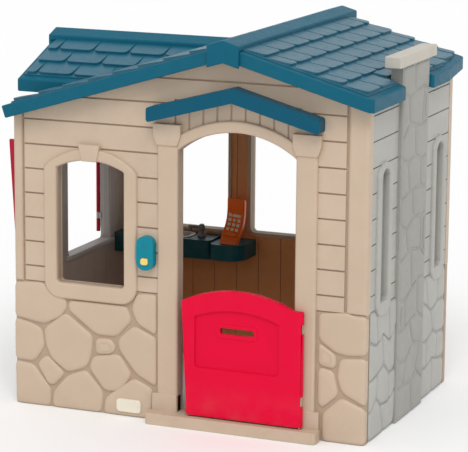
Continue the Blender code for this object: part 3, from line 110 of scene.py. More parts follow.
# ---------------------------------------------------------------- settings a user would change
class PlayhouseSettings(bpy.types.PropertyGroup):
    """Sizes and colours of the playhouse's surface."""

    groove: bpy.props.FloatProperty(
        name="Plank groove", description="Width of the groove between two planks", default=0.005, unit="LENGTH"
    )
    groove_depth: bpy.props.FloatProperty(
        name="Groove depth", description="Depth of the plank grooves", default=0.006, unit="LENGTH"
    )
    stone_proud: bpy.props.FloatProperty(
        name="Stone relief", description="How far stones stand out past the planks", default=0.006, unit="LENGTH"
    )
    shingle_width: bpy.props.FloatProperty(
        name="Shingle width", description="Width of one shingle with its slot", default=0.133, unit="LENGTH"
    )
    shingle_slot: bpy.props.FloatProperty(
        name="Shingle slot", description="Gap between neighbouring shingles", default=0.007, unit="LENGTH"
    )
    shingle_butt: bpy.props.FloatProperty(
        name="Shingle butt", description="Thickness at a shingle's lower end", default=0.009, unit="LENGTH"
    )
    tan: bpy.props.FloatVectorProperty(
        name="Wall tan", description="Colour of the front and back walls", subtype="COLOR",
        default=(0.56, 0.43, 0.315),
    )
    grey: bpy.props.FloatVectorProperty(
        name="Wall grey", description="Colour of the chimney and side walls", subtype="COLOR",
        default=(0.44, 0.435, 0.400),
    )
    blue: bpy.props.FloatVectorProperty(
        name="Roof blue", description="Colour of the roofs", subtype="COLOR", default=(0.004, 0.110, 0.175)
    )
    hood_blue: bpy.props.FloatVectorProperty(
        name="Hood blue", description="Colour of the porch hood", subtype="COLOR", default=(
            0.003, 0.088, 0.150
        )
    )
    red: bpy.props.FloatVectorProperty(
        name="Door red", description="Colour of the half door", subtype="COLOR", default=(0.75, 0.003, 0.040)
    )
    crimson: bpy.props.FloatVectorProperty(
        name="Shutter red", description="Colour of the shutters", subtype="COLOR", default=(
            0.45, 0.003, 0.030
        )
    )


def settings():
    return bpy.context.scene.playhouse


# ---------------------------------------------------------------- materials
class Wire:
    """A node's output, which can be used in sums."""

    def __init__(self, paint, socket):
        self.paint = paint
        self.socket = socket

    def math(self, operation, one, other):
        return self.paint.node("ShaderNodeMath", {"operation": operation}, {0: one, 1: other})

    def __add__(self, other):
        return self.math("ADD", self, other)

    def __sub__(self, other):
        return self.math("SUBTRACT", self, other)

    def __rsub__(self, other):
        return self.math("SUBTRACT", other, self)

    def __mul__(self, other):
        return self.math("MULTIPLY", self, other)

    __radd__ = __add__
    __rmul__ = __mul__


class Paint:
    """A material and the nodes that drive its surface."""

    def __init__(self, name):
        self.material = bpy.data.materials.new(name)
        self.material.use_nodes = True
        self.tree = self.material.node_tree
        self.shader = self.tree.nodes["Principled BSDF"]

    def node(self, kind, options=None, inputs=None, output=0):
        made = self.tree.nodes.new(kind)
        for key, value in (options or {}).items():
            if key == "stops":
                for element, (position, shade) in zip(made.color_ramp.elements, value):
                    element.position = position
                    element.color = (shade, shade, shade, 1.0)
            else:
                setattr(made, key, value)
        for key, value in (inputs or {}).items():
            self.join(made.inputs[key], value)
        return Wire(self, made.outputs[output])

    def join(self, socket, value):
        if isinstance(value, Wire):
            self.tree.links.new(value.socket, socket)
        else:
            socket.default_value = value

    def set(self, socket, value):
        self.join(self.shader.inputs[socket], value)

    def place(self):
        return self.node("ShaderNodeTexCoord", output="Object")

    def noise(self, place, scale, detail=2.0, roughness=0.5):
        inputs = {"Vector": place, "Scale": scale, "Detail": detail, "Roughness": roughness}
        return self.node("ShaderNodeTexNoise", {}, inputs)

    def ramp(self, value, start, end, low_shade=0.0, high_shade=1.0):
        stops = ((start, low_shade), (end, high_shade))
        return self.node("ShaderNodeValToRGB", {"stops": stops}, {"Fac": value})

    def blend(self, amount, one, other):
        one = one if isinstance(one, Wire) else (*one, 1.0)
        other = other if isinstance(other, Wire) else (*other, 1.0)
        return self.node(
            "ShaderNodeMix", {"data_type": "RGBA"}, {"Factor": amount, 6: one, 7: other}, output=2
        )

    def bump(self, height, distance, strength=1.0, normal=None):
        inputs = {"Height": height, "Distance": distance, "Strength": strength}
        if normal is not None:
            inputs["Normal"] = normal
        return self.node("ShaderNodeBump", {}, inputs)


PAINTS = {}


def shade(colour, factor):
    return tuple(min(1.0, c * factor) for c in colour)


def plastic(name, colour, roughness=0.45, mottle=0.10, grain=0.00025, wear=0.12, scuff=0.10, gloss=0.5):
    """Moulded polyethylene: fine grain, slight flow mottling, pale worn edges, painted shade darkening creases
    and hollows, dust near the floor.
    """
    if name in PAINTS:
        return PAINTS[name]
    paint = Paint(name)
    place = paint.place()
    flow = paint.ramp(paint.noise(place, 5.0, 4.0, 0.6), 0.35, 0.68)
    base = paint.blend(flow * mottle * 2.0, colour, shade(colour, 0.72))
    specks = paint.ramp(paint.noise(place, 90.0, 3.0, 0.7), 0.60, 0.74)
    base = paint.blend(specks * 0.10, base, shade(colour, 0.60))
    edges = paint.node("ShaderNodeNewGeometry", output="Pointiness")
    worn = paint.ramp(edges, 0.515, 0.60) * paint.ramp(paint.noise(place, 24.0, 3.0), 0.35, 0.62)
    pale = tuple(c + (0.80 - c) * 0.35 for c in colour)
    base = paint.blend(worn * wear, base, pale)
    # Painted shade: faces in creases and hollows (low pointiness) are darkened to stand for the shade that falls
    # there.
    hollow = paint.ramp(edges, 0.40, 0.495, 1.0, 0.0)
    base = paint.blend(hollow * 0.40, base, shade(colour, 0.50))
    height = paint.node("ShaderNodeSeparateXYZ", {}, {"Vector": place}, output="Z")
    dusty = paint.ramp(height, 0.0, 0.16, 1.0, 0.0) * paint.ramp(paint.noise(place, 14.0, 4.0), 0.40, 0.70)
    base = paint.blend(dusty * 0.16, base, (0.30, 0.24, 0.17))
    paint.set("Base Color", base)
    rubbed = paint.ramp(paint.noise(place, 38.0, 5.0, 0.65), 0.45, 0.70)
    paint.set("Roughness", rubbed * scuff + roughness)
    fine = paint.noise(place, 1400.0, 2.0)
    wave = paint.noise(place, 16.0, 2.0)
    paint.set("Normal", paint.bump(fine, grain, 0.6, paint.bump(wave, 0.0015, 0.35)))
    paint.set("Specular IOR Level", gloss)
    PAINTS[name] = paint.material
    return paint.material


def metal(name, colour, roughness=0.35):
    """Zinc-plated steel: brushed unevenly, with darker tarnish."""
    if name in PAINTS:
        return PAINTS[name]
    paint = Paint(name)
    place = paint.place()
    tarnish = paint.ramp(paint.noise(place, 120.0, 4.0), 0.45, 0.75)
    paint.set("Base Color", paint.blend(tarnish * 0.5, colour, shade(colour, 0.45)))
    paint.set("Metallic", 1.0)
    paint.set("Roughness", tarnish * 0.25 + roughness)
    paint.set("Normal", paint.bump(paint.noise(place, 900.0, 2.0), 0.0001, 0.5))
    PAINTS[name] = paint.material
    return paint.material


def tan_plastic():
    return plastic("tan_plastic", tuple(settings().tan))


# Painted shade: the same tan plastic, darkened where the wall body and stone beds show in the grooves, to stand
# for the shade in them.
def groove_shade_tan():
    return plastic("tan_plastic_painted_groove_shade", (0.42, 0.305, 0.212), 0.55)


def grey_plastic():
    return plastic("grey_plastic", tuple(settings().grey), mottle=0.16)


# Painted shade: the same grey plastic, darkened where the wall body and stone beds show in the grooves, to stand
# for the shade in them.
def groove_shade_grey():
    return plastic("grey_plastic_painted_groove_shade", (0.36, 0.355, 0.33), 0.55)


def blue_plastic():
    return plastic("roof_blue_plastic", tuple(settings().blue), 0.30, wear=0.06, gloss=0.45)


def fascia_blue():
    return plastic("fascia_blue_plastic", tuple(settings().blue), 0.40, wear=0.04, gloss=0.12)


def stack_grey():
    return plastic("stack_grey_plastic", (0.335, 0.330, 0.300), mottle=0.16)


# ---------------------------------------------------------------- planes
def plane_at(origin, u, v, w):
    """The matrix that sets a flat-drawn piece in its plane on the house."""
    matrix = Matrix((u, v, w)).transposed().to_4x4()
    matrix.translation = Vector(origin) + HOUSE
    return matrix


def lean(pitch):
    length = math.hypot(1.0, pitch)
    return 1.0 / length, pitch / length


FRONT = plane_at((0, 0, 0), (1, 0, 0), (0, 0, 1), (0, -1, 0))
BACK = plane_at((0, DEPTH, 0), (-1, 0, 0), (0, 0, 1), (0, 1, 0))
RIGHT = plane_at((HALF_WIDTH, 0, 0), (0, 1, 0), (0, 0, 1), (1, 0, 0))
LEFT = plane_at((-HALF_WIDTH, 0, 0), (0, -1, 0), (0, 0, 1), (-1, 0, 0))
INNER_BACK = plane_at((0, DEPTH - WALL_THICK, 0), (1, 0, 0), (0, 0, 1), (0, -1, 0))
RC, RS = lean(RIGHT_PITCH)
LC, LS = lean(LEFT_PITCH)
SC, SS = lean(SIDE_PITCH)
RIGHT_SLOPE = plane_at((RIDGE_X, 0, ROOF_PEAK), (0, 1, 0), (-RC, 0, RS), (RS, 0, RC))
LEFT_SLOPE = plane_at((RIDGE_X, 0, ROOF_PEAK), (0, -1, 0), (LC, 0, LS), (-LS, 0, LC))
SIDE_FRONT_SLOPE = plane_at((0, SIDE_RIDGE_Y, SIDE_TOP), (1, 0, 0), (0, SC, SS), (0, -SS, SC))
SIDE_REAR_SLOPE = plane_at((0, SIDE_RIDGE_Y, SIDE_TOP), (-1, 0, 0), (0, -SC, SS), (0, SS, SC))


def wall_top(x):
    """Height of a gable wall's top edge."""
    pitch = RIGHT_PITCH if x > RIDGE_X else LEFT_PITCH
    return WALL_PEAK - pitch * abs(x - RIDGE_X)


# ---------------------------------------------------------------- outlines
def arc_points(centre, radius, start, end, steps):
    turn = math.radians(end - start) / steps
    begin = math.radians(start)
    return [
        (centre[0] + radius * math.cos(begin + turn * i), centre[1] + radius * math.sin(begin + turn * i))
        for i in range(steps + 1)
    ]


def arch(middle, half, spring, crown, steps=20):
    """The top of an arched opening, from right to left."""
    rise = crown - spring
    radius = (half * half + rise * rise) / (2 * rise)
    sweep = math.degrees(math.asin(half / radius))
    return arc_points((middle, crown - radius), radius, 90 - sweep, 90 + sweep, steps)


def arched(middle, half, bottom, spring, crown, corner=0.0):
    """An arched opening. Its lower corners are rounded when corner is above zero."""
    if corner <= 0.0:
        foot = [(middle - half, bottom), (middle + half, bottom)]
    else:
        foot = arc_points((middle - half + corner, bottom + corner), corner, 180, 270, 6)
        foot += arc_points((middle + half - corner, bottom + corner), corner, 270, 360, 6)
    return foot + arch(middle, half, spring, crown)


def box_outline(u0, u1, v0, v1):
    return [(u0, v0), (u1, v0), (u1, v1), (u0, v1)]


def rounded_outline(u0, u1, v0, v1, radius, steps=5):
    return (
        arc_points((u0 + radius, v0 + radius), radius, 180, 270, steps)
        + arc_points((u1 - radius, v0 + radius), radius, 270, 360, steps)
        + arc_points((u1 - radius, v1 - radius), radius, 0, 90, steps)
        + arc_points((u0 + radius, v1 - radius), radius, 90, 180, steps)
    )


def anticlockwise(outline):
    area = sum(a[0] * b[1] - b[0] * a[1] for a, b in zip(outline, outline[1:] + outline[:1]))
    return outline if area > 0 else outline[::-1]


# ---------------------------------------------------------------- modelling helpers
def object_mode():
    if bpy.context.mode != "OBJECT":
        bpy.ops.object.mode_set(mode="OBJECT")


def only(obj):
    object_mode()
    bpy.ops.object.select_all(action="DESELECT")
    obj.select_set(True)
    bpy.context.view_layer.objects.active = obj


def select_faces(obj, test):
    """In edit mode, selects the faces whose centre and normal pass a test, and nothing else."""
    bpy.ops.mesh.select_mode(type="FACE")
    bpy.ops.mesh.select_all(action="DESELECT")
    mesh = bmesh.from_edit_mesh(obj.data)
    for face in mesh.faces:
        if test(face.calc_center_median(), face.normal):
            face.select_set(True)
    mesh.select_flush_mode()
    bmesh.update_edit_mesh(obj.data)


def flat_shapes(name, outlines, level=0.0):
    """Flat faces in the XY plane, in one new mesh, left in edit mode and all selected."""
    object_mode()
    bpy.ops.object.select_all(action="DESELECT")
    obj = None
    for outline in outlines:
        outline = anticlockwise(list(outline))
        bpy.ops.mesh.primitive_circle_add(vertices=len(outline), radius=1.0, fill_type="NGON")
        if obj is None:
            obj = bpy.context.object
            obj.name = name
            bpy.ops.object.mode_set(mode="EDIT")
            bpy.ops.mesh.select_mode(type="VERT")
            bpy.ops.mesh.select_all(action="SELECT")
        mesh = bmesh.from_edit_mesh(obj.data)
        mesh.verts.index_update()
        ring = sorted((vert for vert in mesh.verts if vert.select), key=lambda vert: vert.index)
        for vert, (u, v) in zip(ring, outline):
            vert.co = (u, v, level)
        mesh.normal_update()
        bmesh.update_edit_mesh(obj.data)
        bpy.ops.mesh.select_all(action="DESELECT")
    bpy.ops.mesh.select_all(action="SELECT")
    return obj


def raise_up(height, corner=0.0, rim=0.0, rim_steps=3, corner_steps=3):
    """Rounds the selected flat faces' corners, extrudes them and rounds the rim of each top."""
    if corner > 0.0:
        bpy.ops.mesh.select_mode(type="VERT")
        bpy.ops.mesh.bevel(offset=corner, segments=corner_steps, affect="VERTICES", clamp_overlap=True)
        bpy.ops.mesh.select_all(action="SELECT")
    bpy.ops.mesh.select_mode(type="FACE")
    bpy.ops.mesh.extrude_region_move(TRANSFORM_OT_translate={"value": (0.0, 0.0, height)})
    if rim > 0.0:
        bpy.ops.mesh.bevel(offset=rim, segments=rim_steps, affect="EDGES", clamp_overlap=True)
    bpy.ops.mesh.select_all(action="SELECT")
    bpy.ops.mesh.normals_make_consistent(inside=False)


def slab(name, outlines, base, height, corner=0.0, rim=0.0, rim_steps=3, corner_steps=3):
    """Flat shapes from one level up to another, with rounded corners and rims."""
    obj = flat_shapes(name, outlines, base)
    raise_up(height, corner, rim, rim_steps, corner_steps)
    return obj


def cut_away(obj, outlines, base, height):
    """Cuts prisms out of a flat-drawn piece."""
    tool = slab(obj.name + "_cutter", outlines, base, height)
    only(obj)
    modifier = obj.modifiers.new("opening", "BOOLEAN")
    modifier.operation = "DIFFERENCE"
    modifier.solver = "EXACT"
    modifier.object = tool
    bpy.ops.object.modifier_apply(modifier=modifier.name)
    bpy.data.objects.remove(tool, do_unlink=True)
    return obj


def round_edges(obj, width, segments=3, angle=35.0):
    only(obj)
    modifier = obj.modifiers.new("rounded", "BEVEL")
    modifier.width = width
    modifier.segments = segments
    modifier.limit_method = "ANGLE"
    modifier.angle_limit = math.radians(angle)
    modifier.use_clamp_overlap = True
    bpy.ops.object.modifier_apply(modifier=modifier.name)
    return obj


def trim_below(obj, point, normal):
    """Keeps what lies behind a plane, given in the piece's own flat coordinates."""
    only(obj)
    bpy.ops.object.mode_set(mode="EDIT")
    bpy.ops.mesh.select_all(action="SELECT")
    bpy.ops.mesh.bisect(plane_co=point, plane_no=normal, use_fill=True, clear_outer=True)
    object_mode()
    return obj


def settle(obj, plane, body, material, replaces=(), sharp=38.0):
    """Sets a finished piece in its place, smooths its shading, gives it its material and hangs it on its body's
    empty, hiding the solids it replaces.
    """
    only(obj)
    obj.matrix_world = plane
    bpy.ops.object.transform_apply(location=True, rotation=True, scale=True)
    bpy.ops.object.shade_smooth_by_angle(angle=math.radians(sharp))
    weighted = obj.modifiers.new("even_shading", "WEIGHTED_NORMAL")
    weighted.keep_sharp = True
    weighted.weight = 80
    bpy.ops.object.modifier_apply(modifier=weighted.name)
    obj.data.materials.clear()
    obj.data.materials.append(material)
    obj.data.name = obj.name
    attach(obj, body)
    if replaces:
        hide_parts(*replaces)
    return obj


def rounded_copy(node, name, width, segments=3, angle=30.0):
    """A copy of a plain solid, cleaned up and with its edges rounded over."""
    object_mode()
    obj = bpy.data.objects.new(name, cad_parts[node].data.copy())
    bpy.context.scene.collection.objects.link(obj)
    only(obj)
    bpy.ops.object.mode_set(mode="EDIT")
    bpy.ops.mesh.select_all(action="SELECT")
    bpy.ops.mesh.remove_doubles(threshold=0.00002)
    bpy.ops.mesh.dissolve_limited(angle_limit=math.radians(0.5))
    object_mode()
    if width > 0.0:
        round_edges(obj, width, segments, angle)
    return obj


def finish_copy(node, name, width, body, material, segments=3, angle=30.0, sharp=38.0):
    obj = rounded_copy(node, name, width, segments, angle)
    return settle(obj, Matrix.Identity(4), body, material, (node,), sharp)


# ---------------------------------------------------------------- planks, stones and shingles
def planks(name, u0, u1, top, holes, groove, plank_top=0.0):
    """Rows of planks between two upright lines, with openings cut out of them."""
    rows = []
    levels = SIDING_LEVELS
    for lower, upper in zip(levels, levels[1:]):
        if lower < top:
            rows.append(box_outline(u0, u1, lower + groove / 2, upper - groove / 2))
    depth = settings().groove_depth + 0.004
    obj = slab(name, rows, plank_top - depth, depth, rim=0.0018, rim_steps=2)
    for outline in holes:
        cut_away(obj, [outline], -0.05, 0.10)
    return obj


STONE_PROFILE = (
    (0.0000, -0.0040), (0.0014, -0.0004), (0.0038, 0.0022), (0.0075, 0.0041), (0.0130, 0.0053),
    (0.0230, 0.0060),
)


def softened(outline, radius, steps=4):
    """Rounds an outline's corners and breaks its long sides into short ones."""
    outline = anticlockwise(list(outline))
    points = []
    for before, here, after in zip(outline[-1:] + outline[:-1], outline, outline[1:] + outline[:1]):
        here = Vector(here)
        back, ahead = Vector(before) - here, Vector(after) - here
        reach = min(radius, back.length * 0.46, ahead.length * 0.46)
        start, end = here + back.normalized() * reach, here + ahead.normalized() * reach
        for i in range(steps + 1):
            t = i / steps
            points.append((1 - t) ** 2 * start + 2 * t * (1 - t) * here + t**2 * end)
    ring = []
    for here, after in zip(points, points[1:] + points[:1]):
        if (after - here).length < 1e-5:
            continue
        pieces = max(1, round((after - here).length / 0.016))
        ring += [here.lerp(after, i / pieces) for i in range(pieces)]
    return [tuple(point) for point in ring]


def stones(name, outlines, grow=0.0035, proud=0.0, corner=0.018, base=-0.022):
    """Rounded stones, each drawn as a flat outline and raised ring by ring into a soft dome."""
    tallest = STONE_PROFILE[-1][1]
    obj = None
    for outline in outlines:
        outline = softened(outline, corner)
        middle = sum((Vector(point) for point in outline), Vector((0.0, 0.0))) / len(outline)
        half_u = max(abs(point[0] - middle.x) for point in outline)
        half_v = max(abs(point[1] - middle.y) for point in outline)
        object_mode()
        bpy.ops.object.select_all(action="DESELECT")
        bpy.ops.mesh.primitive_circle_add(vertices=len(outline), radius=1.0, fill_type="NGON")
        stone = bpy.context.object
        for vert, point in zip(stone.data.vertices, outline):
            vert.co = (*point, base)
        bpy.ops.object.mode_set(mode="EDIT")
        bpy.ops.mesh.select_mode(type="FACE")
        bpy.ops.mesh.select_all(action="SELECT")
        inward, level = 0.0, base
        profile = (
            (0.0, STONE_PROFILE[0][1] - 0.001), *STONE_PROFILE, (min(half_u, half_v) * 0.62, tallest + 0.0006)
        )
        for step_in, step_up in profile:
            height = step_up + proud - tallest
            bpy.ops.mesh.extrude_region_move(TRANSFORM_OT_translate={"value": (0.0, 0.0, height - level)})
            scale_u = max(0.05, (half_u - step_in + grow) / (half_u - inward))
            scale_v = max(0.05, (half_v - step_in + grow) / (half_v - inward))
            bpy.ops.transform.resize(value=(scale_u, scale_v, 1.0), center_override=(*middle, 0.0))
            inward, level = step_in - grow, height
        bpy.ops.mesh.select_all(action="SELECT")
        bpy.ops.mesh.normals_make_consistent(inside=False)
        object_mode()
        if obj is None:
            obj = stone
            obj.name = name
        else:
            obj.select_set(True)
            bpy.context.view_layer.objects.active = obj
            bpy.ops.object.join()
    return obj


def rubble(u0, u1, v0, v1, courses, per_course, seed):
    """Irregular stones in staggered courses, as outlines that share their corners."""
    chance = random.Random(seed)
    wide, tall = (u1 - u0) / per_course, (v1 - v0) / courses

    def corner(row, half_column):
        u = u0 + wide * half_column / 2
        v = v0 + tall * row
        spread = random.Random(f"{seed} {row} {half_column}")
        if 0 < row < courses:
            v += spread.uniform(-0.30, 0.30) * tall
        if u0 + 1e-6 < u < u1 - 1e-6:
            u += spread.uniform(-0.16, 0.16) * wide
        return min(max(u, u0), u1), v

    outlines = []
    for row in range(courses):
        offset = row % 2
        for column in range(-offset, 2 * per_course, 2):
            left, right = max(column, 0), min(column + 2, 2 * per_course)
            if right <= left:
                continue
            steps = range(left, right + 1)
            ring = [corner(row, step) for step in steps]
            ring += [corner(row + 1, step) for step in reversed(steps)]
            outlines.append(ring)
    chance.shuffle(outlines)
    return outlines


def tab(u, v, width, length, corner):
    """One shingle: square at the top, with its two lower corners rounded."""
    half = width / 2
    outline = [(u + half, v + length), (u - half, v + length)]
    outline += arc_points((u - half + corner, v + corner), corner, 180, 270, 4)
    outline += arc_points((u + half - corner, v + corner), corner, 270, 360, 4)
    return outline


def shingles(name, u0, u1, v_eave, courses, exposure, width, start=0.0, skip=None, splits=(), rise=None):
    """Courses of shingles from the eave up, each leaning on the course below it.

    The lowest course is parted at the splits, and its feet follow the rise, where these are given.
    """
    s = settings()
    overlap = 0.35 * exposure
    outlines = []
    for course in range(courses):
        v = v_eave + course * exposure
        shift = start + (course % 2) * width / 2
        for i in range(-1, int((u1 - u0) / width) + 3):
            left = max(u0 + shift + (i - 1) * width + s.shingle_slot / 2, u0)
            right = min(u0 + shift + i * width - s.shingle_slot / 2, u1)
            stops = [left, *(u for u in splits if course == 0 and left < u < right), right]
            for near, far in zip(stops, stops[1:]):
                if far - near < 0.022 or (skip is not None and skip((near + far) / 2, v + exposure / 2)):
                    continue
                corner = min(0.018, (far - near) * 0.3)
                outline = tab((near + far) / 2, v, far - near, exposure + overlap, corner)
                if course == 0 and rise is not None:
                    lift = rise((near + far) / 2)
                    outline = [(u, v_here if v_here > v + exposure else v_here + lift) for u, v_here in outline]
                outlines.append(outline)
    obj = flat_shapes(name, outlines, 0.001)
    raise_up(FIELD_TOP + s.shingle_butt - 0.001, 0.0, 0.0022, 2)
    fall = s.shingle_butt / exposure * 0.92
    mesh = bmesh.from_edit_mesh(obj.data)
    seen = set()
    for face in mesh.faces:
        if face in seen:
            continue
        island, stack = set(), [face]
        while stack:
            here = stack.pop()
            if here in seen:
                continue
            seen.add(here)
            island.update(here.verts)
            for edge in here.edges:
                stack.extend(edge.link_faces)
        foot = min(vert.co.y for vert in island)
        for vert in island:
            if vert.co.z > FIELD_TOP:
                vert.co.z -= fall * (vert.co.y - foot)
    bmesh.update_edit_mesh(obj.data)
    object_mode()
    return obj


def field(name, outline, plane, material):
    """The raised bed that the shingles lie on, standing above the roof's plain border."""
    bed = slab(name, [outline], -0.006, 0.006 + FIELD_TOP, rim=0.002, rim_steps=3)
    object_mode()
    return settle(bed, plane, "house", material)


# ---------------------------------------------------------------- front wall
FRONT_STONES_LEFT = (
    [(-0.620, 0.416), (-0.519, 0.422), (-0.491, 0.401), (-0.431, 0.376), (-0.431, 0.346), (-0.453, 0.313),
     (-0.515, 0.284), (-0.622, 0.300)],
    [(-0.622, 0.292), (-0.565, 0.281), (-0.524, 0.264), (-0.513, 0.209), (-0.550, 0.152), (-0.622, 0.153)],
    [(-0.434, 0.328), (-0.336, 0.259), (-0.340, 0.203), (-0.357, 0.152), (-0.427, 0.126), (-0.486, 0.166),
     (-0.507, 0.210), (-0.514, 0.267)],
    [(-0.421, 0.373), (-0.213, 0.373), (-0.193, 0.325), (-0.249, 0.267), (-0.322, 0.267), (-0.422, 0.339)],
    [(-0.323, 0.252), (-0.267, 0.254), (-0.250, 0.225), (-0.268, 0.206), (-0.323, 0.200)],
    [(-0.175, 0.417), (-0.104, 0.420), (-0.104, 0.286), (-0.170, 0.317), (-0.193, 0.365)],
    [(-0.186, 0.308), (-0.104, 0.275), (-0.104, 0.112), (-0.175, 0.147), (-0.238, 0.224), (-0.240, 0.259)],
    [(-0.333, 0.190), (-0.239, 0.206), (-0.193, 0.143), (-0.235, 0.084), (-0.290, 0.077), (-0.348, 0.150)],
    [(-0.541, 0.144), (-0.505, 0.176), (-0.438, 0.120), (-0.478, 0.077), (-0.500, 0.077)],
    [(-0.622, 0.144), (-0.555, 0.138), (-0.491, 0.062), (-0.494, 0.002), (-0.619, 0.002)],
    [(-0.481, 0.054), (-0.427, 0.114), (-0.361, 0.139), (-0.298, 0.073), (-0.306, 0.002), (-0.483, 0.002)],
    [(-0.288, 0.055), (-0.186, 0.130), (-0.118, 0.101), (-0.121, 0.002), (-0.294, 0.002)],
)
FRONT_STONES_RIGHT = (
    [(0.462, 0.418), (0.554, 0.427), (0.576, 0.420), (0.621, 0.419), (0.621, 0.297), (0.557, 0.290),
     (0.521, 0.296), (0.462, 0.333)],
    [(0.462, 0.322), (0.521, 0.286), (0.518, 0.243), (0.462, 0.251)],
    [(0.462, 0.241), (0.513, 0.232), (0.530, 0.158), (0.478, 0.112), (0.462, 0.122)],
    [(0.535, 0.276), (0.621, 0.283), (0.621, 0.130), (0.543, 0.166), (0.526, 0.216)],
    [(0.478, 0.091), (0.540, 0.148), (0.621, 0.117), (0.620, 0.002), (0.478, 0.002)],
)
WINDOW_X, WINDOW_HALF = -0.340, 0.122
WINDOW_LOW, WINDOW_SPRING, WINDOW_TOP = 0.432, 0.818, 0.848
DOOR_HALF = 0.203
DOOR_SPRING, DOOR_TOP = 0.904, 0.976
PILASTER_IN, PILASTER_OUT = 0.203, 0.275
CAPITAL_LOW, CAPITAL_TOP = 0.920, 0.990


def gable_profile(mirror=1.0, bottom=0.0):
    """Outline of a front or back wall, up to its lopsided gable."""
    return [
        (mirror * -HALF_WIDTH, bottom), (mirror * HALF_WIDTH, bottom),
        (mirror * HALF_WIDTH, wall_top(HALF_WIDTH)), (mirror * RIDGE_X, WALL_PEAK),
        (mirror * -HALF_WIDTH, wall_top(-HALF_WIDTH)),
    ]


def trim_to_gable(obj, mirror=1.0, drop=0.001):
    """Cuts a flat-drawn piece off along the two slopes of the gable."""
    peak = (mirror * RIDGE_X, WALL_PEAK - drop, 0.0)
    trim_below(obj, peak, (mirror * RS, RC, 0.0))
    return trim_below(obj, peak, (mirror * -LS, LC, 0.0))


def front_window(grow=0.0, corner=0.012):
    return arched(
        WINDOW_X, WINDOW_HALF + grow, WINDOW_LOW - grow, WINDOW_SPRING, WINDOW_TOP + grow, corner + grow
    )


def front_door(grow=0.0, bottom=-0.05):
    return arched(DOOR_X, DOOR_HALF + grow, bottom, DOOR_SPRING, DOOR_TOP + grow)


def make_front_core():
    recess = settings().groove_depth
    core = slab("front_wall_core", [gable_profile()], -WALL_THICK, WALL_THICK - recess)
    cut_away(core, [front_window()], -0.1, 0.2)
    cut_away(core, [front_door()], -0.1, 0.2)
    round_edges(core, 0.0025, 2)
    settle(core, FRONT, "house", groove_shade_tan(), ("front_wall",))
    inner = slab("front_wall_lining", [gable_profile()], -WALL_THICK - 0.0002, 0.008)
    cut_away(inner, [front_window(-0.0004)], -0.1, 0.2)
    cut_away(inner, [front_door(-0.0004)], -0.1, 0.2)
    round_edges(inner, 0.0015, 2)
    settle(inner, FRONT, "house", tan_plastic())


def make_front_planks():
    s = settings()
    door_zone = [
        (DOOR_X - 0.272, -0.1), (DOOR_X + 0.272, -0.1), (DOOR_X + 0.272, 0.985), (DOOR_X + 0.218, 0.985),
        (DOOR_X + 0.218, 1.070), (DOOR_X - 0.218, 1.070), (DOOR_X - 0.218, 0.985), (DOOR_X - 0.272, 0.985),
    ]
    obj = planks(
        "front_wall_planks", -0.582, 0.5445, 1.3, [front_window(0.014), door_zone], s.groove
    )
    trim_to_gable(obj)
    settle(obj, FRONT, "house", tan_plastic())
    pitch = 0.0485
    outlines = []
    for i in range(9):
        left = DOOR_X - 0.2165 + i * pitch
        outlines.append(box_outline(left + s.groove / 2, left + pitch - s.groove / 2, 0.930, 1.075))
    slats = slab("front_wall_slats", outlines, -0.010, 0.007, rim=0.002, rim_steps=2)
    cut_away(slats, [front_door(0.010)], -0.1, 0.2)
    settle(slats, FRONT, "house", tan_plastic())


def make_front_posts():
    """The upright mouldings at the corners, above the stones."""
    left = slab(
        "front_post_left", [box_outline(-HALF_WIDTH - 0.0006, -0.5885, 0.424, 1.10)], -0.034, 0.040,
        rim=0.011,
        rim_steps=5,
    )
    right = slab(
        "front_post_right", [box_outline(0.5505, HALF_WIDTH + 0.0006, 0.424, 1.20)], -0.034, 0.038, rim=0.013,
        rim_steps=5,
    )
    for post in (left, right):
        trim_to_gable(post)
        settle(post, FRONT, "house", tan_plastic())


def make_front_stones():
    s = settings()
    mortar = slab(
        "front_mortar",
        [box_outline(-HALF_WIDTH + 0.001, DOOR_X - 0.21, 0.001, 0.424),
         box_outline(DOOR_X + 0.21, HALF_WIDTH - 0.001, 0.001, 0.424)],
        -0.012, 0.009,
    )
    cut_away(mortar, [front_window(0.010)], -0.1, 0.2)
    settle(mortar, FRONT, "house", groove_shade_tan())
    for side, outlines in (("left", FRONT_STONES_LEFT), ("right", FRONT_STONES_RIGHT)):
        obj = stones(f"front_stones_{side}", outlines, 0.0028, s.stone_proud)
        for vert in obj.data.vertices:
            vert.co.x = min(max(vert.co.x, -HALF_WIDTH - 0.0015), HALF_WIDTH + 0.0015)
            vert.co.y = max(vert.co.y, 0.0005)
        settle(obj, FRONT, "house", tan_plastic(), sharp=60.0)


def make_window_trim(
    name, plane, middle, half, bottom, spring, top, band, band_low, high_w, corner, paint
):
    """A broad rounded moulding round an arched opening."""
    outer = arched(middle, half + band, bottom - band_low, spring, top + band * 0.85, corner)
    obj = slab(name, [outer], -0.012, 0.012 + high_w)
    inner = arched(middle, half - 0.0005, bottom + 0.0005, spring, top - 0.0005, 0.012)
    object_mode()
    cut_away(obj, [inner], -0.1, 0.2)
    round_edges(obj, high_w * 0.72, 5, 50.0)
    return settle(obj, plane, "house", paint, sharp=50.0)


def make_front_window_trim():
    make_window_trim(
        "front_window_trim", FRONT, WINDOW_X, WINDOW_HALF, WINDOW_LOW, WINDOW_SPRING, WINDOW_TOP, 0.046,
        0.054,
        0.011, 0.058, tan_plastic(),
    )
    key = slab(
        "window_keystone",
        [[(WINDOW_X - 0.027, 0.846), (WINDOW_X + 0.027, 0.846), (WINDOW_X + 0.039, 0.902),
          (WINDOW_X - 0.039, 0.902)]],
        -0.010, 0.026, corner=0.004, rim=0.005, rim_steps=4,
    )
    settle(key, FRONT, "house", tan_plastic())


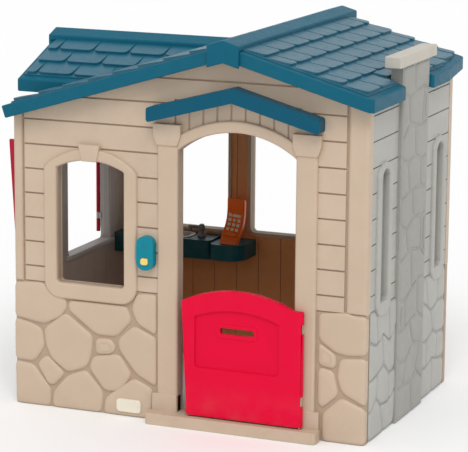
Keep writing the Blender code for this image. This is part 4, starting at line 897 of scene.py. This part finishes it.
def make_door_surround():
    """Pilasters with plinths and flared capitals, and the arched band between them."""
    for side, sign in (("left", -1), ("right", 1)):
        inner, outer = DOOR_X + sign * (PILASTER_IN - 0.0005), DOOR_X + sign * PILASTER_OUT
        shaft = slab(
            f"pilaster_{side}", [box_outline(*sorted((inner, outer)), 0.001, CAPITAL_LOW + 0.012)],
            -WALL_THICK,
            WALL_THICK + 0.011, rim=0.009, rim_steps=5,
        )
        settle(shaft, FRONT, "house", tan_plastic())
        foot_edges = sorted((inner, outer + sign * 0.016))
        foot = slab(
            f"plinth_{side}", [box_outline(*foot_edges, 0.001, 0.094)], -0.020, 0.0335, corner=0.003,
            rim=0.006,
            rim_steps=4,
        )
        settle(foot, FRONT, "house", tan_plastic())
        flare = 0.013
        head = slab(
            f"capital_{side}",
            [[
                (inner, CAPITAL_LOW), (outer, CAPITAL_LOW),
                (outer + sign * flare * 0.55, CAPITAL_LOW + 0.016),
                (outer + sign * flare, CAPITAL_LOW + 0.034), (outer + sign * flare, CAPITAL_TOP),
                (inner - sign * flare * 0.8, CAPITAL_TOP), (inner - sign * flare * 0.8, CAPITAL_LOW + 0.030),
                (inner - sign * flare * 0.3, CAPITAL_LOW + 0.012),
            ]],
            -0.020, 0.036, corner=0.003, rim=0.006, rim_steps=4,
        )
        settle(head, FRONT, "house", tan_plastic())
    outer_arc = arch(DOOR_X, DOOR_HALF + 0.004, DOOR_SPRING + 0.046, DOOR_TOP + 0.038, 28)
    inner_arc = arch(DOOR_X, DOOR_HALF + 0.004, DOOR_SPRING - 0.001, DOOR_TOP - 0.0005, 28)
    band = slab(
        "door_arch_band", [outer_arc + inner_arc[::-1]], -WALL_THICK, WALL_THICK + 0.009, rim=0.007, rim_steps=4
    )
    settle(band, FRONT, "house", tan_plastic())


class PLAYHOUSE_OT_front_wall(bpy.types.Operator):
    """Model the front wall: planks, stones, window moulding and the door's pilasters"""

    bl_idname = "playhouse.front_wall"
    bl_label = "Front wall"

    def execute(self, context):
        make_front_core()
        make_front_planks()
        make_front_posts()
        make_front_stones()
        make_front_window_trim()
        make_door_surround()
        return {"FINISHED"}


# ---------------------------------------------------------------- back wall
BACK_MIDDLE = -0.148
BACK_HALF, BACK_SHIFT = 0.144, 0.187
BACK_LOW, BACK_SPRING, BACK_TOP = 0.474, 0.860, 0.905


def back_windows(grow=0.0, mirror=-1.0):
    return [
        arched(
            mirror * (BACK_MIDDLE + side * BACK_SHIFT), BACK_HALF + grow, BACK_LOW - grow, BACK_SPRING,
            BACK_TOP + grow, 0.020 + grow,
        )
        for side in (-1, 1)
    ]


class PLAYHOUSE_OT_back_wall(bpy.types.Operator):
    """Model the back wall: planks and stones outside, upright boards inside, two arched windows"""

    bl_idname = "playhouse.back_wall"
    bl_label = "Back wall"

    def execute(self, context):
        s = settings()
        core = slab(
            "back_wall_core", [gable_profile(-1.0)], -WALL_THICK + 0.004, WALL_THICK - 0.004 - s.groove_depth
        )
        for outline in back_windows():
            cut_away(core, [outline], -0.1, 0.2)
        round_edges(core, 0.0025, 2)
        settle(core, BACK, "house", groove_shade_tan(), ("back_wall",))

        siding = planks("back_wall_planks", -0.582, 0.582, 1.3, back_windows(0.006), s.groove)
        trim_to_gable(siding, -1.0)
        settle(siding, BACK, "house", tan_plastic())

        for side, u0, u1 in (("right", -HALF_WIDTH - 0.0006, -0.5885), ("left", 0.5885, HALF_WIDTH + 0.0006)):
            post = slab(
                f"back_post_{side}", [box_outline(u0, u1, 0.424, 1.20)], -0.034, 0.040, rim=0.011, rim_steps=5
            )
            trim_to_gable(post, -1.0)
            settle(post, BACK, "house", tan_plastic())

        mortar = slab(
            "back_mortar", [box_outline(-HALF_WIDTH + 0.001, HALF_WIDTH - 0.001, 0.001, 0.424)], -0.012, 0.009
        )
        settle(mortar, BACK, "house", groove_shade_tan())
        rough = stones("back_stones", rubble(-0.621, 0.621, 0.002, 0.422, 4, 9, 11), -0.003, 0.005)
        settle(rough, BACK, "house", tan_plastic(), sharp=60.0)

        for side, sign in (("right", -1), ("left", 1)):
            make_window_trim(
                f"back_window_trim_{side}", BACK, -(BACK_MIDDLE - sign * BACK_SHIFT), BACK_HALF, BACK_LOW,
                BACK_SPRING, BACK_TOP, 0.022, 0.022, 0.008, 0.036, tan_plastic(),
            )

        # Painted shade: the inside of the back wall is the tan plastic, drawn as saturated brown to stand for
        # deep shade and warm bounce light.
        brown = plastic("shaded_brown_plastic", (0.70, 0.26, 0.070), 0.5)
        pitch = 0.085
        rows = []
        count = int(2 * HALF_WIDTH / pitch) + 1
        for i in range(count):
            left = -HALF_WIDTH + 0.037 + i * pitch
            right = min(left + pitch, HALF_WIDTH - 0.037)
            if right - left > 0.010:
                rows.append(box_outline(left + 0.0012, right - 0.0012, 0.001, 1.30))
        lining = slab("back_wall_lining", rows, -0.004, 0.0042, rim=0.0012, rim_steps=2)
        for outline in back_windows(0.0, 1.0):
            cut_away(lining, [outline], -0.1, 0.2)
        trim_to_gable(lining)
        settle(lining, INNER_BACK, "house", brown)

        pale = plastic("pale_lip_plastic", (0.50, 0.36, 0.23), 0.45)
        for side, sign in (("left", -1), ("right", 1)):
            middle = BACK_MIDDLE + sign * BACK_SHIFT
            outer = arched(middle, BACK_HALF + 0.012, BACK_LOW - 0.012, BACK_SPRING, BACK_TOP + 0.012, 0.030)
            lip = slab(f"back_window_lip_{side}", [outer], -0.006, 0.011)
            inner = arched(middle, BACK_HALF - 0.001, BACK_LOW + 0.001, BACK_SPRING, BACK_TOP - 0.001, 0.020)
            object_mode()
            cut_away(lip, [inner], -0.1, 0.2)
            round_edges(lip, 0.003, 4, 50.0)
            settle(lip, INNER_BACK, "house", pale, sharp=50.0)
        return {"FINISHED"}


# ---------------------------------------------------------------- right wall with the chimney
BLIND_HALF, BLIND_LOW, BLIND_SPRING, BLIND_TOP = 0.038, 0.442, 0.848, 0.872
BLIND_MIDDLES = (DEPTH / 2 - 0.279, DEPTH / 2 + 0.279)
SIDE_TOP_EDGE = wall_top(HALF_WIDTH)


class PLAYHOUSE_OT_right_wall(bpy.types.Operator):
    """Model the right wall: stone chimney stack, blind windows, planks and stones"""

    bl_idname = "playhouse.right_wall"
    bl_label = "Right wall"

    def execute(self, context):
        s = settings()
        near, far = WALL_THICK + 0.0003, DEPTH - WALL_THICK - 0.0003
        core = slab(
            "right_wall_core", [box_outline(near, far, 0.0, SIDE_TOP_EDGE - 0.0003)], -WALL_THICK,
            WALL_THICK - s.groove_depth,
        )
        object_mode()
        for middle in BLIND_MIDDLES:
            hollow = arched(middle, BLIND_HALF, BLIND_LOW, BLIND_SPRING, BLIND_TOP, 0.012)
            cut_away(core, [hollow], -0.018, 0.1)
        round_edges(core, 0.0015, 2)
        settle(core, RIGHT, "house", groove_shade_grey(), ("right_wall",))

        holes = [
            arched(middle, BLIND_HALF + 0.010, BLIND_LOW - 0.010, BLIND_SPRING, BLIND_TOP + 0.010, 0.022)
            for middle in BLIND_MIDDLES
        ]
        siding = planks("right_wall_planks", near, far, SIDE_TOP_EDGE, holes, 0.0035)
        trim_below(siding, (0.0, SIDE_TOP_EDGE - 0.0003, 0.0), (0.0, 1.0, 0.0))
        settle(siding, RIGHT, "house", grey_plastic())

        for side, middle in zip(("front", "rear"), BLIND_MIDDLES):
            make_window_trim(
                f"blind_window_trim_{side}", RIGHT, middle, BLIND_HALF, BLIND_LOW, BLIND_SPRING, BLIND_TOP,
                0.028,
                0.046, 0.010, 0.050, grey_plastic(),
            )
            pane = slab(
                f"blind_window_pane_{side}",
                [arched(middle, BLIND_HALF - 0.001, BLIND_LOW + 0.001, BLIND_SPRING, BLIND_TOP - 0.001, 0.012)],
                -0.020, 0.006, rim=0.002, rim_steps=2,
            )
            settle(pane, RIGHT, "house", grey_plastic())

        mortar = slab("right_mortar", [box_outline(near, far, 0.001, 0.424)], -0.012, 0.010)
        settle(mortar, RIGHT, "house", groove_shade_grey())
        rough = stones("right_stones", rubble(near, far, 0.002, 0.424, 4, 6, 5), -0.0022, 0.005)
        settle(rough, RIGHT, "house", grey_plastic(), sharp=60.0)
        self.make_stack()
        return {"FINISHED"}

    def make_stack(self):
        """The chimney stack: a proud column faced with stones, which passes the roof's notch."""
        top = high("right_wall").z
        proud = high("right_wall").x - HALF_WIDTH
        column = slab(
            "chimney_column", [box_outline(STACK_LOW_Y, STACK_HIGH_Y, 0.0, top)], -0.030,
            0.030 + proud - 0.006,
        )
        settle(column, RIGHT, "house", stack_grey())
        outlines = rubble(STACK_LOW_Y, STACK_HIGH_Y, 0.002, top - 0.001, 11, 2, 8)
        face = stones("chimney_stones", outlines, -0.0012, proud - 0.0006, 0.018, -0.022)
        settle(face, RIGHT, "house", stack_grey(), sharp=60.0)
        finish_copy(
            "chimney_cap", "chimney_cap_moulding", 0.0, "house",
            plastic("cap_stone_plastic", (0.56, 0.52, 0.45), 0.5, mottle=0.18),
        )


# ---------------------------------------------------------------- left wall
SIDE_WINDOW_Y, SIDE_WINDOW_HALF = 0.490, 0.170
SIDE_LOW, SIDE_SPRING, SIDE_CROWN = 0.440, 0.820, 0.862


class PLAYHOUSE_OT_left_wall(bpy.types.Operator):
    """Model the left wall with its dormer, its arched window and its stones"""

    bl_idname = "playhouse.left_wall"
    bl_label = "Left wall"

    def execute(self, context):
        s = settings()
        near, far = -(DEPTH - WALL_THICK - 0.0003), -(WALL_THICK + 0.0003)
        eave = wall_top(-HALF_WIDTH) - 0.0003
        half = 0.255
        under = SIDE_TOP - ROOF_THICK - 0.0003
        middle = -SIDE_RIDGE_Y
        outline = [
            (near, 0.0), (far, 0.0), (far, eave), (middle + half, eave),
            (middle + half, under - SIDE_PITCH * half),
            (middle, under), (middle - half, under - SIDE_PITCH * half), (middle - half, eave), (near, eave),
        ]
        window = arched(-SIDE_WINDOW_Y, SIDE_WINDOW_HALF, SIDE_LOW, SIDE_SPRING, SIDE_CROWN, 0.020)
        core = slab("left_wall_core", [outline], -WALL_THICK, WALL_THICK - s.groove_depth)
        cut_away(core, [window], -0.1, 0.2)
        round_edges(core, 0.0015, 2)
        settle(core, LEFT, "house", groove_shade_grey(), ("left_wall",))

        wide = arched(
            -SIDE_WINDOW_Y, SIDE_WINDOW_HALF + 0.006, SIDE_LOW - 0.006, SIDE_SPRING, SIDE_CROWN + 0.006, 0.026
        )
        siding = planks("left_wall_planks", near, far, eave, [wide], s.groove)
        trim_below(siding, (0.0, eave, 0.0), (0.0, 1.0, 0.0))
        settle(siding, LEFT, "house", grey_plastic())
        upper = planks("left_dormer_planks", middle - half, middle + half, 1.3, [], s.groove)
        trim_below(upper, (0.0, eave + 0.002, 0.0), (0.0, -1.0, 0.0))
        trim_below(upper, (middle, under - 0.001, 0.0), (SS, SC, 0.0))
        trim_below(upper, (middle, under - 0.001, 0.0), (-SS, SC, 0.0))
        settle(upper, LEFT, "house", grey_plastic())

        make_window_trim(
            "side_window_trim", LEFT, -SIDE_WINDOW_Y, SIDE_WINDOW_HALF, SIDE_LOW, SIDE_SPRING, SIDE_CROWN,
            0.016,
            0.022, 0.0045, 0.040, grey_plastic(),
        )
        mortar = slab("left_mortar", [box_outline(near, far, 0.001, 0.412)], -0.012, 0.010)
        settle(mortar, LEFT, "house", groove_shade_grey())
        rough = stones("left_stones", rubble(near, far, 0.002, 0.410, 4, 6, 23), -0.0025, 0.0045)
        settle(rough, LEFT, "house", grey_plastic(), sharp=60.0)

        lining = plane_at((-HALF_WIDTH + WALL_THICK, 0, 0), (0, 1, 0), (0, 0, 1), (1, 0, 0))
        pitch = 0.097
        rows = []
        for i in range(8):
            left = 0.038 + i * pitch
            rows.append(box_outline(left + 0.001, left + pitch - 0.001, 0.001, eave - 0.001))
        skin = slab("left_wall_lining", rows, -0.004, 0.0044, rim=0.0012, rim_steps=2)
        hole = arched(SIDE_WINDOW_Y, SIDE_WINDOW_HALF + 0.0, SIDE_LOW, SIDE_SPRING, SIDE_CROWN, 0.020)
        cut_away(skin, [hole], -0.1, 0.2)
        # Painted light: the lining is the grey wall plastic, given a warm tint to stand for the warm bounce
        # light inside the house.
        settle(skin, lining, "house", plastic("pale_grey_lining", (0.50, 0.42, 0.36), 0.5))

        sill = slab(
            "side_window_sill",
            [rounded_outline(
                SIDE_WINDOW_Y - SIDE_WINDOW_HALF - 0.020, SIDE_WINDOW_Y + SIDE_WINDOW_HALF + 0.020,
                SIDE_LOW - 0.014,
                SIDE_LOW + 0.002, 0.006,
            )],
            -WALL_THICK + 0.004, WALL_THICK + 0.004, rim=0.004, rim_steps=4,
        )
        settle(sill, lining, "house", plastic("pale_sill_plastic", (0.55, 0.54, 0.51), 0.4))
        return {"FINISHED"}


# ---------------------------------------------------------------- roofs
class PLAYHOUSE_OT_main_roof(bpy.types.Operator):
    """Model the two main slopes with their shingles and the ridge cap"""

    bl_idname = "playhouse.main_roof"
    bl_label = "Main roof"

    def execute(self, context):
        s = settings()
        blue = blue_plastic()
        finish_copy(
            "roof_panel_right", "roof_right_moulding", 0.007, "house", fascia_blue(), 4
        )
        finish_copy(
            "roof_panel_left", "roof_left_moulding", 0.005, "house", fascia_blue(), 4
        )
        finish_copy(
            "ridge_cap_main", "ridge_cap_moulding", 0.005, "house", fascia_blue(), 4
        )

        edge = 0.030
        slope_right = (EAVE_RIGHT - RIDGE_X) / RC
        start = -slope_right + edge
        courses = 5
        exposure = (slope_right - edge - CAP_HALF / RC + 0.012) / courses
        near, far = STACK_LOW_Y - NOTCH_MARGIN, STACK_HIGH_Y + NOTCH_MARGIN
        taper_start = ROOF_BACK - EAVE_TAPER_LENGTH

        def rise(u):
            if near < u < far:
                return NOTCH - edge + 0.006
            return max(0.0, (u - taper_start) / EAVE_TAPER_LENGTH) * EAVE_TAPER / RC

        right = shingles(
            "roof_right_shingles", ROOF_FRONT + edge, ROOF_BACK - edge, start, courses, exposure,
            s.shingle_width,
            splits=(near, far), rise=rise,
        )
        settle(right, RIGHT_SLOPE, "house", blue)
        outer, low_v = BED_MARGIN, start - BED_MARGIN
        notch_v = -slope_right + NOTCH
        bed = [
            (ROOF_FRONT + edge - outer, low_v), (near, low_v), (near, notch_v), (far, notch_v), (far, low_v),
            (taper_start, low_v), (ROOF_BACK - edge + outer, low_v + EAVE_TAPER / RC),
            (ROOF_BACK - edge + outer, -0.01), (ROOF_FRONT + edge - outer, -0.01),
        ]
        field("roof_right_field", bed, RIGHT_SLOPE, blue)

        slope_left = (RIDGE_X - EAVE_LEFT) / LC
        start = -slope_left + edge
        courses = 8
        exposure = (slope_left - edge - CAP_HALF / LC + 0.012) / courses

        def under_side_gable(u, v):
            along = -v * LC
            x = RIDGE_X - along
            y = -u
            rise = ROOF_PEAK - LEFT_PITCH * along
            half = (SIDE_TOP - rise) / SIDE_PITCH
            return x < RIDGE_X and abs(y - SIDE_RIDGE_Y) < half + 0.010

        left = shingles(
            "roof_left_shingles", -ROOF_BACK + edge, -ROOF_FRONT - edge, start, courses, exposure,
            s.shingle_width,
            0.0, under_side_gable,
        )
        settle(left, LEFT_SLOPE, "house", blue)
        lower, upper = -SIDE_RIDGE_Y - SIDE_SPAN, -SIDE_RIDGE_Y + SIDE_SPAN
        for name, u0, u1 in (
            ("rear", -ROOF_BACK + edge - 0.004, lower - 0.012), (
                "front", upper + 0.012, -ROOF_FRONT - edge + 0.004
            )
        ):
            field(f"roof_left_field_{name}", box_outline(u0, u1, start - 0.004, -0.01), LEFT_SLOPE, blue)
        return {"FINISHED"}


class PLAYHOUSE_OT_side_gable(bpy.types.Operator):
    """Model the small gable on the left slope, with its shingles and ridge cap"""

    bl_idname = "playhouse.side_gable"
    bl_label = "Side gable"

    def execute(self, context):
        blue = blue_plastic()
        finish_copy(
            "roof_side_gable", "side_gable_moulding", 0.006, "house", fascia_blue(), 4
        )
        finish_copy(
            "ridge_cap_side", "side_ridge_cap_moulding", 0.005, "house", fascia_blue(), 4
        )
        slope = SIDE_SPAN / SC
        border = 0.030
        courses = 3
        exposure = (slope - border - CAP_HALF / SC + 0.010) / courses
        edge = SIDE_LEFT + 0.020
        reach = RIDGE_X
        for name, plane, u0, u1, start in (
            ("front", SIDE_FRONT_SLOPE, edge, reach, 0.04), ("rear", SIDE_REAR_SLOPE, -reach, -edge, 0.03)
        ):
            obj = shingles(
                f"side_gable_shingles_{name}", u0, u1, -slope + border, courses, exposure, 0.131, start
            )
            point = plane.inverted() @ (Vector((RIDGE_X, SIDE_RIDGE_Y, ROOF_PEAK - 0.006)) + HOUSE)
            normal = plane.to_3x3().inverted() @ Vector((LS, 0.0, -LC))
            trim_below(obj, point, normal)
            settle(obj, plane, "house", blue)
            bed = slab(
                f"side_gable_field_{name}",
                [box_outline(u0 - 0.004, u1 + 0.004, -slope + border - 0.004, -0.01)],
                -0.006, 0.006 + FIELD_TOP, rim=0.002,
            )
            trim_below(bed, point, normal)
            settle(bed, plane, "house", blue)
        return {"FINISHED"}


class PLAYHOUSE_OT_porch_hood(bpy.types.Operator):
    """Model the peaked hood over the door"""

    bl_idname = "playhouse.porch_hood"
    bl_label = "Porch hood"

    def execute(self, context):
        paint = plastic("hood_blue_plastic", tuple(settings().hood_blue), 0.38, wear=0.04, gloss=0.12)
        finish_copy("porch_hood", "porch_hood_moulding", 0.005, "house", paint, 4, 28.0)
        return {"FINISHED"}


# ---------------------------------------------------------------- door, sill and shutters
class PLAYHOUSE_OT_half_door(bpy.types.Operator):
    """Model the half door with its sunk panel and mail slot, and the sill under it"""

    bl_idname = "playhouse.half_door"
    bl_label = "Half door and sill"

    def execute(self, context):
        red = plastic(
            "door_red_plastic", tuple(settings().red), 0.38, mottle=0.06, wear=0.04, scuff=0.14, gloss=0.08
        )
        finish_copy("half_door", "half_door_moulding", 0.0035, "door", red, 4, 40.0, 50.0)
        door_low, door_high = low("half_door"), high("half_door")
        middle = (door_low.x + door_high.x - 0.034) / 2
        rim = slab(
            "mail_slot_rim", [rounded_outline(middle - 0.071, middle + 0.071, 0.311, 0.357, 0.015)], 0.0, 0.0025
        )
        object_mode()
        cut_away(rim, [rounded_outline(middle - 0.059, middle + 0.059, 0.323, 0.345, 0.008)], -0.1, 0.2)
        round_edges(rim, 0.0022, 4, 50.0)
        face = plane_at((0, door_low.y + 0.0062, 0), (1, 0, 0), (0, 0, 1), (0, -1, 0))
        settle(rim, face, "door", red, sharp=50.0)
        finish_copy("door_sill", "door_sill_moulding", 0.0, "house", tan_plastic())
        return {"FINISHED"}


class PLAYHOUSE_OT_shutters(bpy.types.Operator):
    """Finish the two shutters of the side window"""

    bl_idname = "playhouse.shutters"
    bl_label = "Shutters"

    def execute(self, context):
        crimson = plastic("shutter_red_plastic", tuple(settings().crimson), 0.40, wear=0.06, gloss=0.25)
        for side in ("front", "rear"):
            finish_copy(
                f"shutter_{side}", f"shutter_{side}_moulding", 0.002, f"{side}_shutter",
                crimson,
                3, 40.0,
            )
        return {"FINISHED"}


# ---------------------------------------------------------------- fittings
class PLAYHOUSE_OT_doorbell(bpy.types.Operator):
    """Finish the doorbell: rounded cover, button, speaker dots and the blank name plate"""

    bl_idname = "playhouse.doorbell"
    bl_label = "Doorbell and name plate"

    def execute(self, context):
        teal = plastic("bell_teal_plastic", (0.002, 0.225, 0.300), 0.30, wear=0.05, gloss=0.15)
        yellow = plastic("button_yellow_plastic", (0.86, 0.63, 0.17), 0.35)
        finish_copy(
            "doorbell_cover", "doorbell_cover_moulding", 0.0008, "house", teal, 2, 50.0
        )
        finish_copy(
            "doorbell_button", "doorbell_button_cap", 0.0022, "bell_button", yellow,
            3, 50.0
        )
        finish_copy("badge_plate", "badge_plate_moulding", 0.0016, "house",
                    plastic("badge_plastic", (0.80, 0.74, 0.62), 0.35), 3, 50.0)
        bell_low, bell_high = low("doorbell_cover"), high("doorbell_cover")
        centre = Vector(((bell_low.x + bell_high.x) / 2, bell_low.y, (bell_low.z + bell_high.z) / 2 + 0.024))
        dots = [(0.0, 0.0)]
        for count, radius in ((6, 0.0052), (12, 0.0104)):
            dots += [
                (radius * math.cos(2 * math.pi * i / count), radius * math.sin(2 * math.pi * i / count))
                for i in range(count)
            ]
        outlines = [
            arc_points((centre.x + u, centre.z + v), 0.00115, 0, 315, 7) for u, v in dots
        ]
        plane = plane_at((0, centre.y, 0), (1, 0, 0), (0, 0, 1), (0, -1, 0))
        # Painted shade: dark discs on the cover stand for the shade inside the speaker holes.
        holes = slab("doorbell_speaker_dots", outlines, -0.001, 0.0012)
        settle(
            holes, plane, "house",
            plastic("speaker_hole_painted_shade", (0.01, 0.03, 0.04), 0.6)
        )
        return {"FINISHED"}


class PLAYHOUSE_OT_kitchen(bpy.types.Operator):
    """Finish the kitchen counter, sink and tap"""

    bl_idname = "playhouse.kitchen"
    bl_label = "Kitchen counter"

    def execute(self, context):
        counter = plastic("counter_teal_plastic", (0.003, 0.062, 0.070), 0.32, gloss=0.3)
        grey = plastic("sink_grey_plastic", (0.52, 0.50, 0.48), 0.35)
        dark = plastic("tap_grey_plastic", (0.17, 0.16, 0.14), 0.3)
        finish_copy(
            "kitchen_counter", "kitchen_counter_moulding", 0.0012, "house", counter,
            2, 40.0
        )
        finish_copy("sink_basin", "sink_basin_moulding", 0.0010, "house", grey, 2, 50.0)
        finish_copy("tap_base", "tap_base_moulding", 0.0007, "house", dark, 2, 30.0)
        finish_copy("tap_spout", "tap_spout_moulding", 0.0006, "spout", dark, 2, 50.0)
        return {"FINISHED"}


class PLAYHOUSE_OT_telephone(bpy.types.Operator):
    """Finish the toy telephone: curved handset, keys and cradle"""

    bl_idname = "playhouse.telephone"
    bl_label = "Telephone"

    def execute(self, context):
        orange = plastic("phone_orange_plastic", (0.95, 0.155, 0.010), 0.32, gloss=0.3)
        cream = plastic("key_cream_plastic", (0.85, 0.70, 0.48), 0.45)
        teal = plastic("cradle_teal_plastic", (0.002, 0.085, 0.098), 0.32, gloss=0.3)
        finish_copy(
            "phone_handset", "phone_handset_moulding", 0.0009, "handset", orange, 2,
            50.0, 50.0
        )
        keys = finish_copy("phone_keypad", "phone_keys", 0.0, "handset", cream, 2, 50.0)
        only(keys)
        bpy.ops.object.mode_set(mode="EDIT")
        select_faces(keys, lambda centre, normal: abs(normal.y) > 0.5 or abs(normal.x) > 0.9)
        mesh = bmesh.from_edit_mesh(keys.data)
        for face in mesh.faces:
            face.select_set(face.select and face.calc_area() > KEY_AREA)
        bmesh.update_edit_mesh(keys.data)
        if any(face.select for face in mesh.faces):
            bpy.ops.mesh.separate(type="SELECTED")
            object_mode()
            bed = next(obj for obj in context.selected_objects if obj is not keys)
            bed.name = bed.data.name = "phone_key_bed"
            bed.data.materials.clear()
            bed.data.materials.append(orange)
            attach(bed, "handset")
        object_mode()
        finish_copy(
            "phone_cradle", "phone_cradle_moulding", 0.0010, "house", teal, 2, 40.0
        )
        return {"FINISHED"}


class PLAYHOUSE_OT_hardware(bpy.types.Operator):
    """Give the hinges, rods, screws and the doorbell's inside their own finishes"""

    bl_idname = "playhouse.hardware"
    bl_label = "Hinges, rods and screws"

    def execute(self, context):
        steel = metal("zinc_steel", (0.55, 0.55, 0.56))
        foil = plastic("battery_sleeve", (0.10, 0.10, 0.11), 0.3)
        green = plastic("circuit_board_lacquer", (0.015, 0.14, 0.045), 0.3)
        finishes = {
            "door_hinge_lower": tan_plastic(), "door_hinge_upper": tan_plastic(), "door_hinge_rod": steel,
            "doorbell_circuit_board": green, "doorbell_speaker": steel, "doorbell_battery_left": foil,
            "doorbell_battery_right": foil,
            "doorbell_base": plastic("bell_teal_plastic", (0.003, 0.215, 0.315)),
        }
        for side in ("front", "rear"):
            finishes[f"shutter_{side}_rod"] = steel
            for level in ("lower", "upper"):
                finishes[f"shutter_{side}_hinge_{level}"] = grey_plastic()
        for name in ("counter_screw_left", "counter_screw_right", "cradle_screw", "hood_screw_left", "hood_screw_right"):
            finishes[name] = steel
        for name, material in finishes.items():
            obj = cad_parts[name]
            obj.data.materials.clear()
            obj.data.materials.append(material)
        return {"FINISHED"}


# ---------------------------------------------------------------- stage
class PLAYHOUSE_OT_stage(bpy.types.Operator):
    """Set the pale floor, the soft lights and the camera"""

    bl_idname = "playhouse.stage"
    bl_label = "Floor, lights and camera"

    def execute(self, context):
        object_mode()
        bpy.ops.object.select_all(action="DESELECT")
        bpy.ops.mesh.primitive_plane_add(size=60.0, location=(0.0, 0.0, -0.0005))
        floor = context.object
        floor.name = "studio_floor"
        paint = Paint("studio_floor_paint")
        place = paint.place()
        paint.set(
            "Base Color", paint.blend(paint.noise(place, 2.0) * 0.04, (0.93, 0.93, 0.93), (0.90, 0.90, 0.90))
        )
        paint.set("Roughness", 0.9)
        floor.data.materials.append(paint.material)

        world = bpy.data.worlds.new("studio_world")
        world.use_nodes = True
        backdrop = world.node_tree.nodes["Background"]
        backdrop.inputs["Color"].default_value = (1.0, 1.0, 1.0, 1.0)
        backdrop.inputs["Strength"].default_value = 0.74
        context.scene.world = world
        context.scene.view_settings.view_transform = "Standard"

        data = bpy.data.lights.new("key_light", "SUN")
        data.energy = 1.35
        data.angle = math.radians(32.0)
        key = bpy.data.objects.new("key_light", data)
        context.scene.collection.objects.link(key)
        key.rotation_euler = Vector((-0.30, 0.72, -1.0)).to_track_quat("-Z", "Y").to_euler()

        camera = bpy.data.objects.new("studio_camera", bpy.data.cameras.new("studio_camera"))
        context.scene.collection.objects.link(camera)
        camera.data.sensor_width = 36.0
        camera.data.lens = 179.6
        camera.data.clip_end = 100.0
        camera.location = HOUSE + Vector((2.9565, -6.7334, 2.2003))
        heading, pitch, roll = 0.3927, 0.2063, 0.0082
        turn = Matrix.Rotation(heading, 3, "Z") @ Matrix.Rotation(math.pi / 2 - pitch, 3, "X")
        camera.rotation_euler = (turn @ Matrix.Rotation(roll, 3, "Z")).to_euler()
        context.scene.camera = camera
        return {"FINISHED"}


OPERATORS = (
    PLAYHOUSE_OT_front_wall,
    PLAYHOUSE_OT_back_wall,
    PLAYHOUSE_OT_right_wall,
    PLAYHOUSE_OT_left_wall,
    PLAYHOUSE_OT_main_roof,
    PLAYHOUSE_OT_side_gable,
    PLAYHOUSE_OT_porch_hood,
    PLAYHOUSE_OT_half_door,
    PLAYHOUSE_OT_shutters,
    PLAYHOUSE_OT_doorbell,
    PLAYHOUSE_OT_kitchen,
    PLAYHOUSE_OT_telephone,
    PLAYHOUSE_OT_hardware,
    PLAYHOUSE_OT_stage,
)


class PLAYHOUSE_PT_panel(bpy.types.Panel):
    """The playhouse's settings and the buttons that build it"""

    bl_label = "Playhouse"
    bl_idname = "PLAYHOUSE_PT_panel"
    bl_space_type = "VIEW_3D"
    bl_region_type = "UI"
    bl_category = "Playhouse"

    def draw(self, context):
        column = self.layout.column()
        for name in PlayhouseSettings.__annotations__:
            column.prop(context.scene.playhouse, name)
        for operator in OPERATORS:
            column.operator(operator.bl_idname)


def register():
    for each in (PlayhouseSettings, *OPERATORS, PLAYHOUSE_PT_panel):
        bpy.utils.register_class(each)
    bpy.types.Scene.playhouse = bpy.props.PointerProperty(type=PlayhouseSettings)


def unregister():
    del bpy.types.Scene.playhouse
    for each in reversed((PlayhouseSettings, *OPERATORS, PLAYHOUSE_PT_panel)):
        bpy.utils.unregister_class(each)


def main():
    register()
    for operator in OPERATORS:
        getattr(bpy.ops.playhouse, operator.bl_idname.split(".")[1])()


if __name__ == "__main__":
    main()
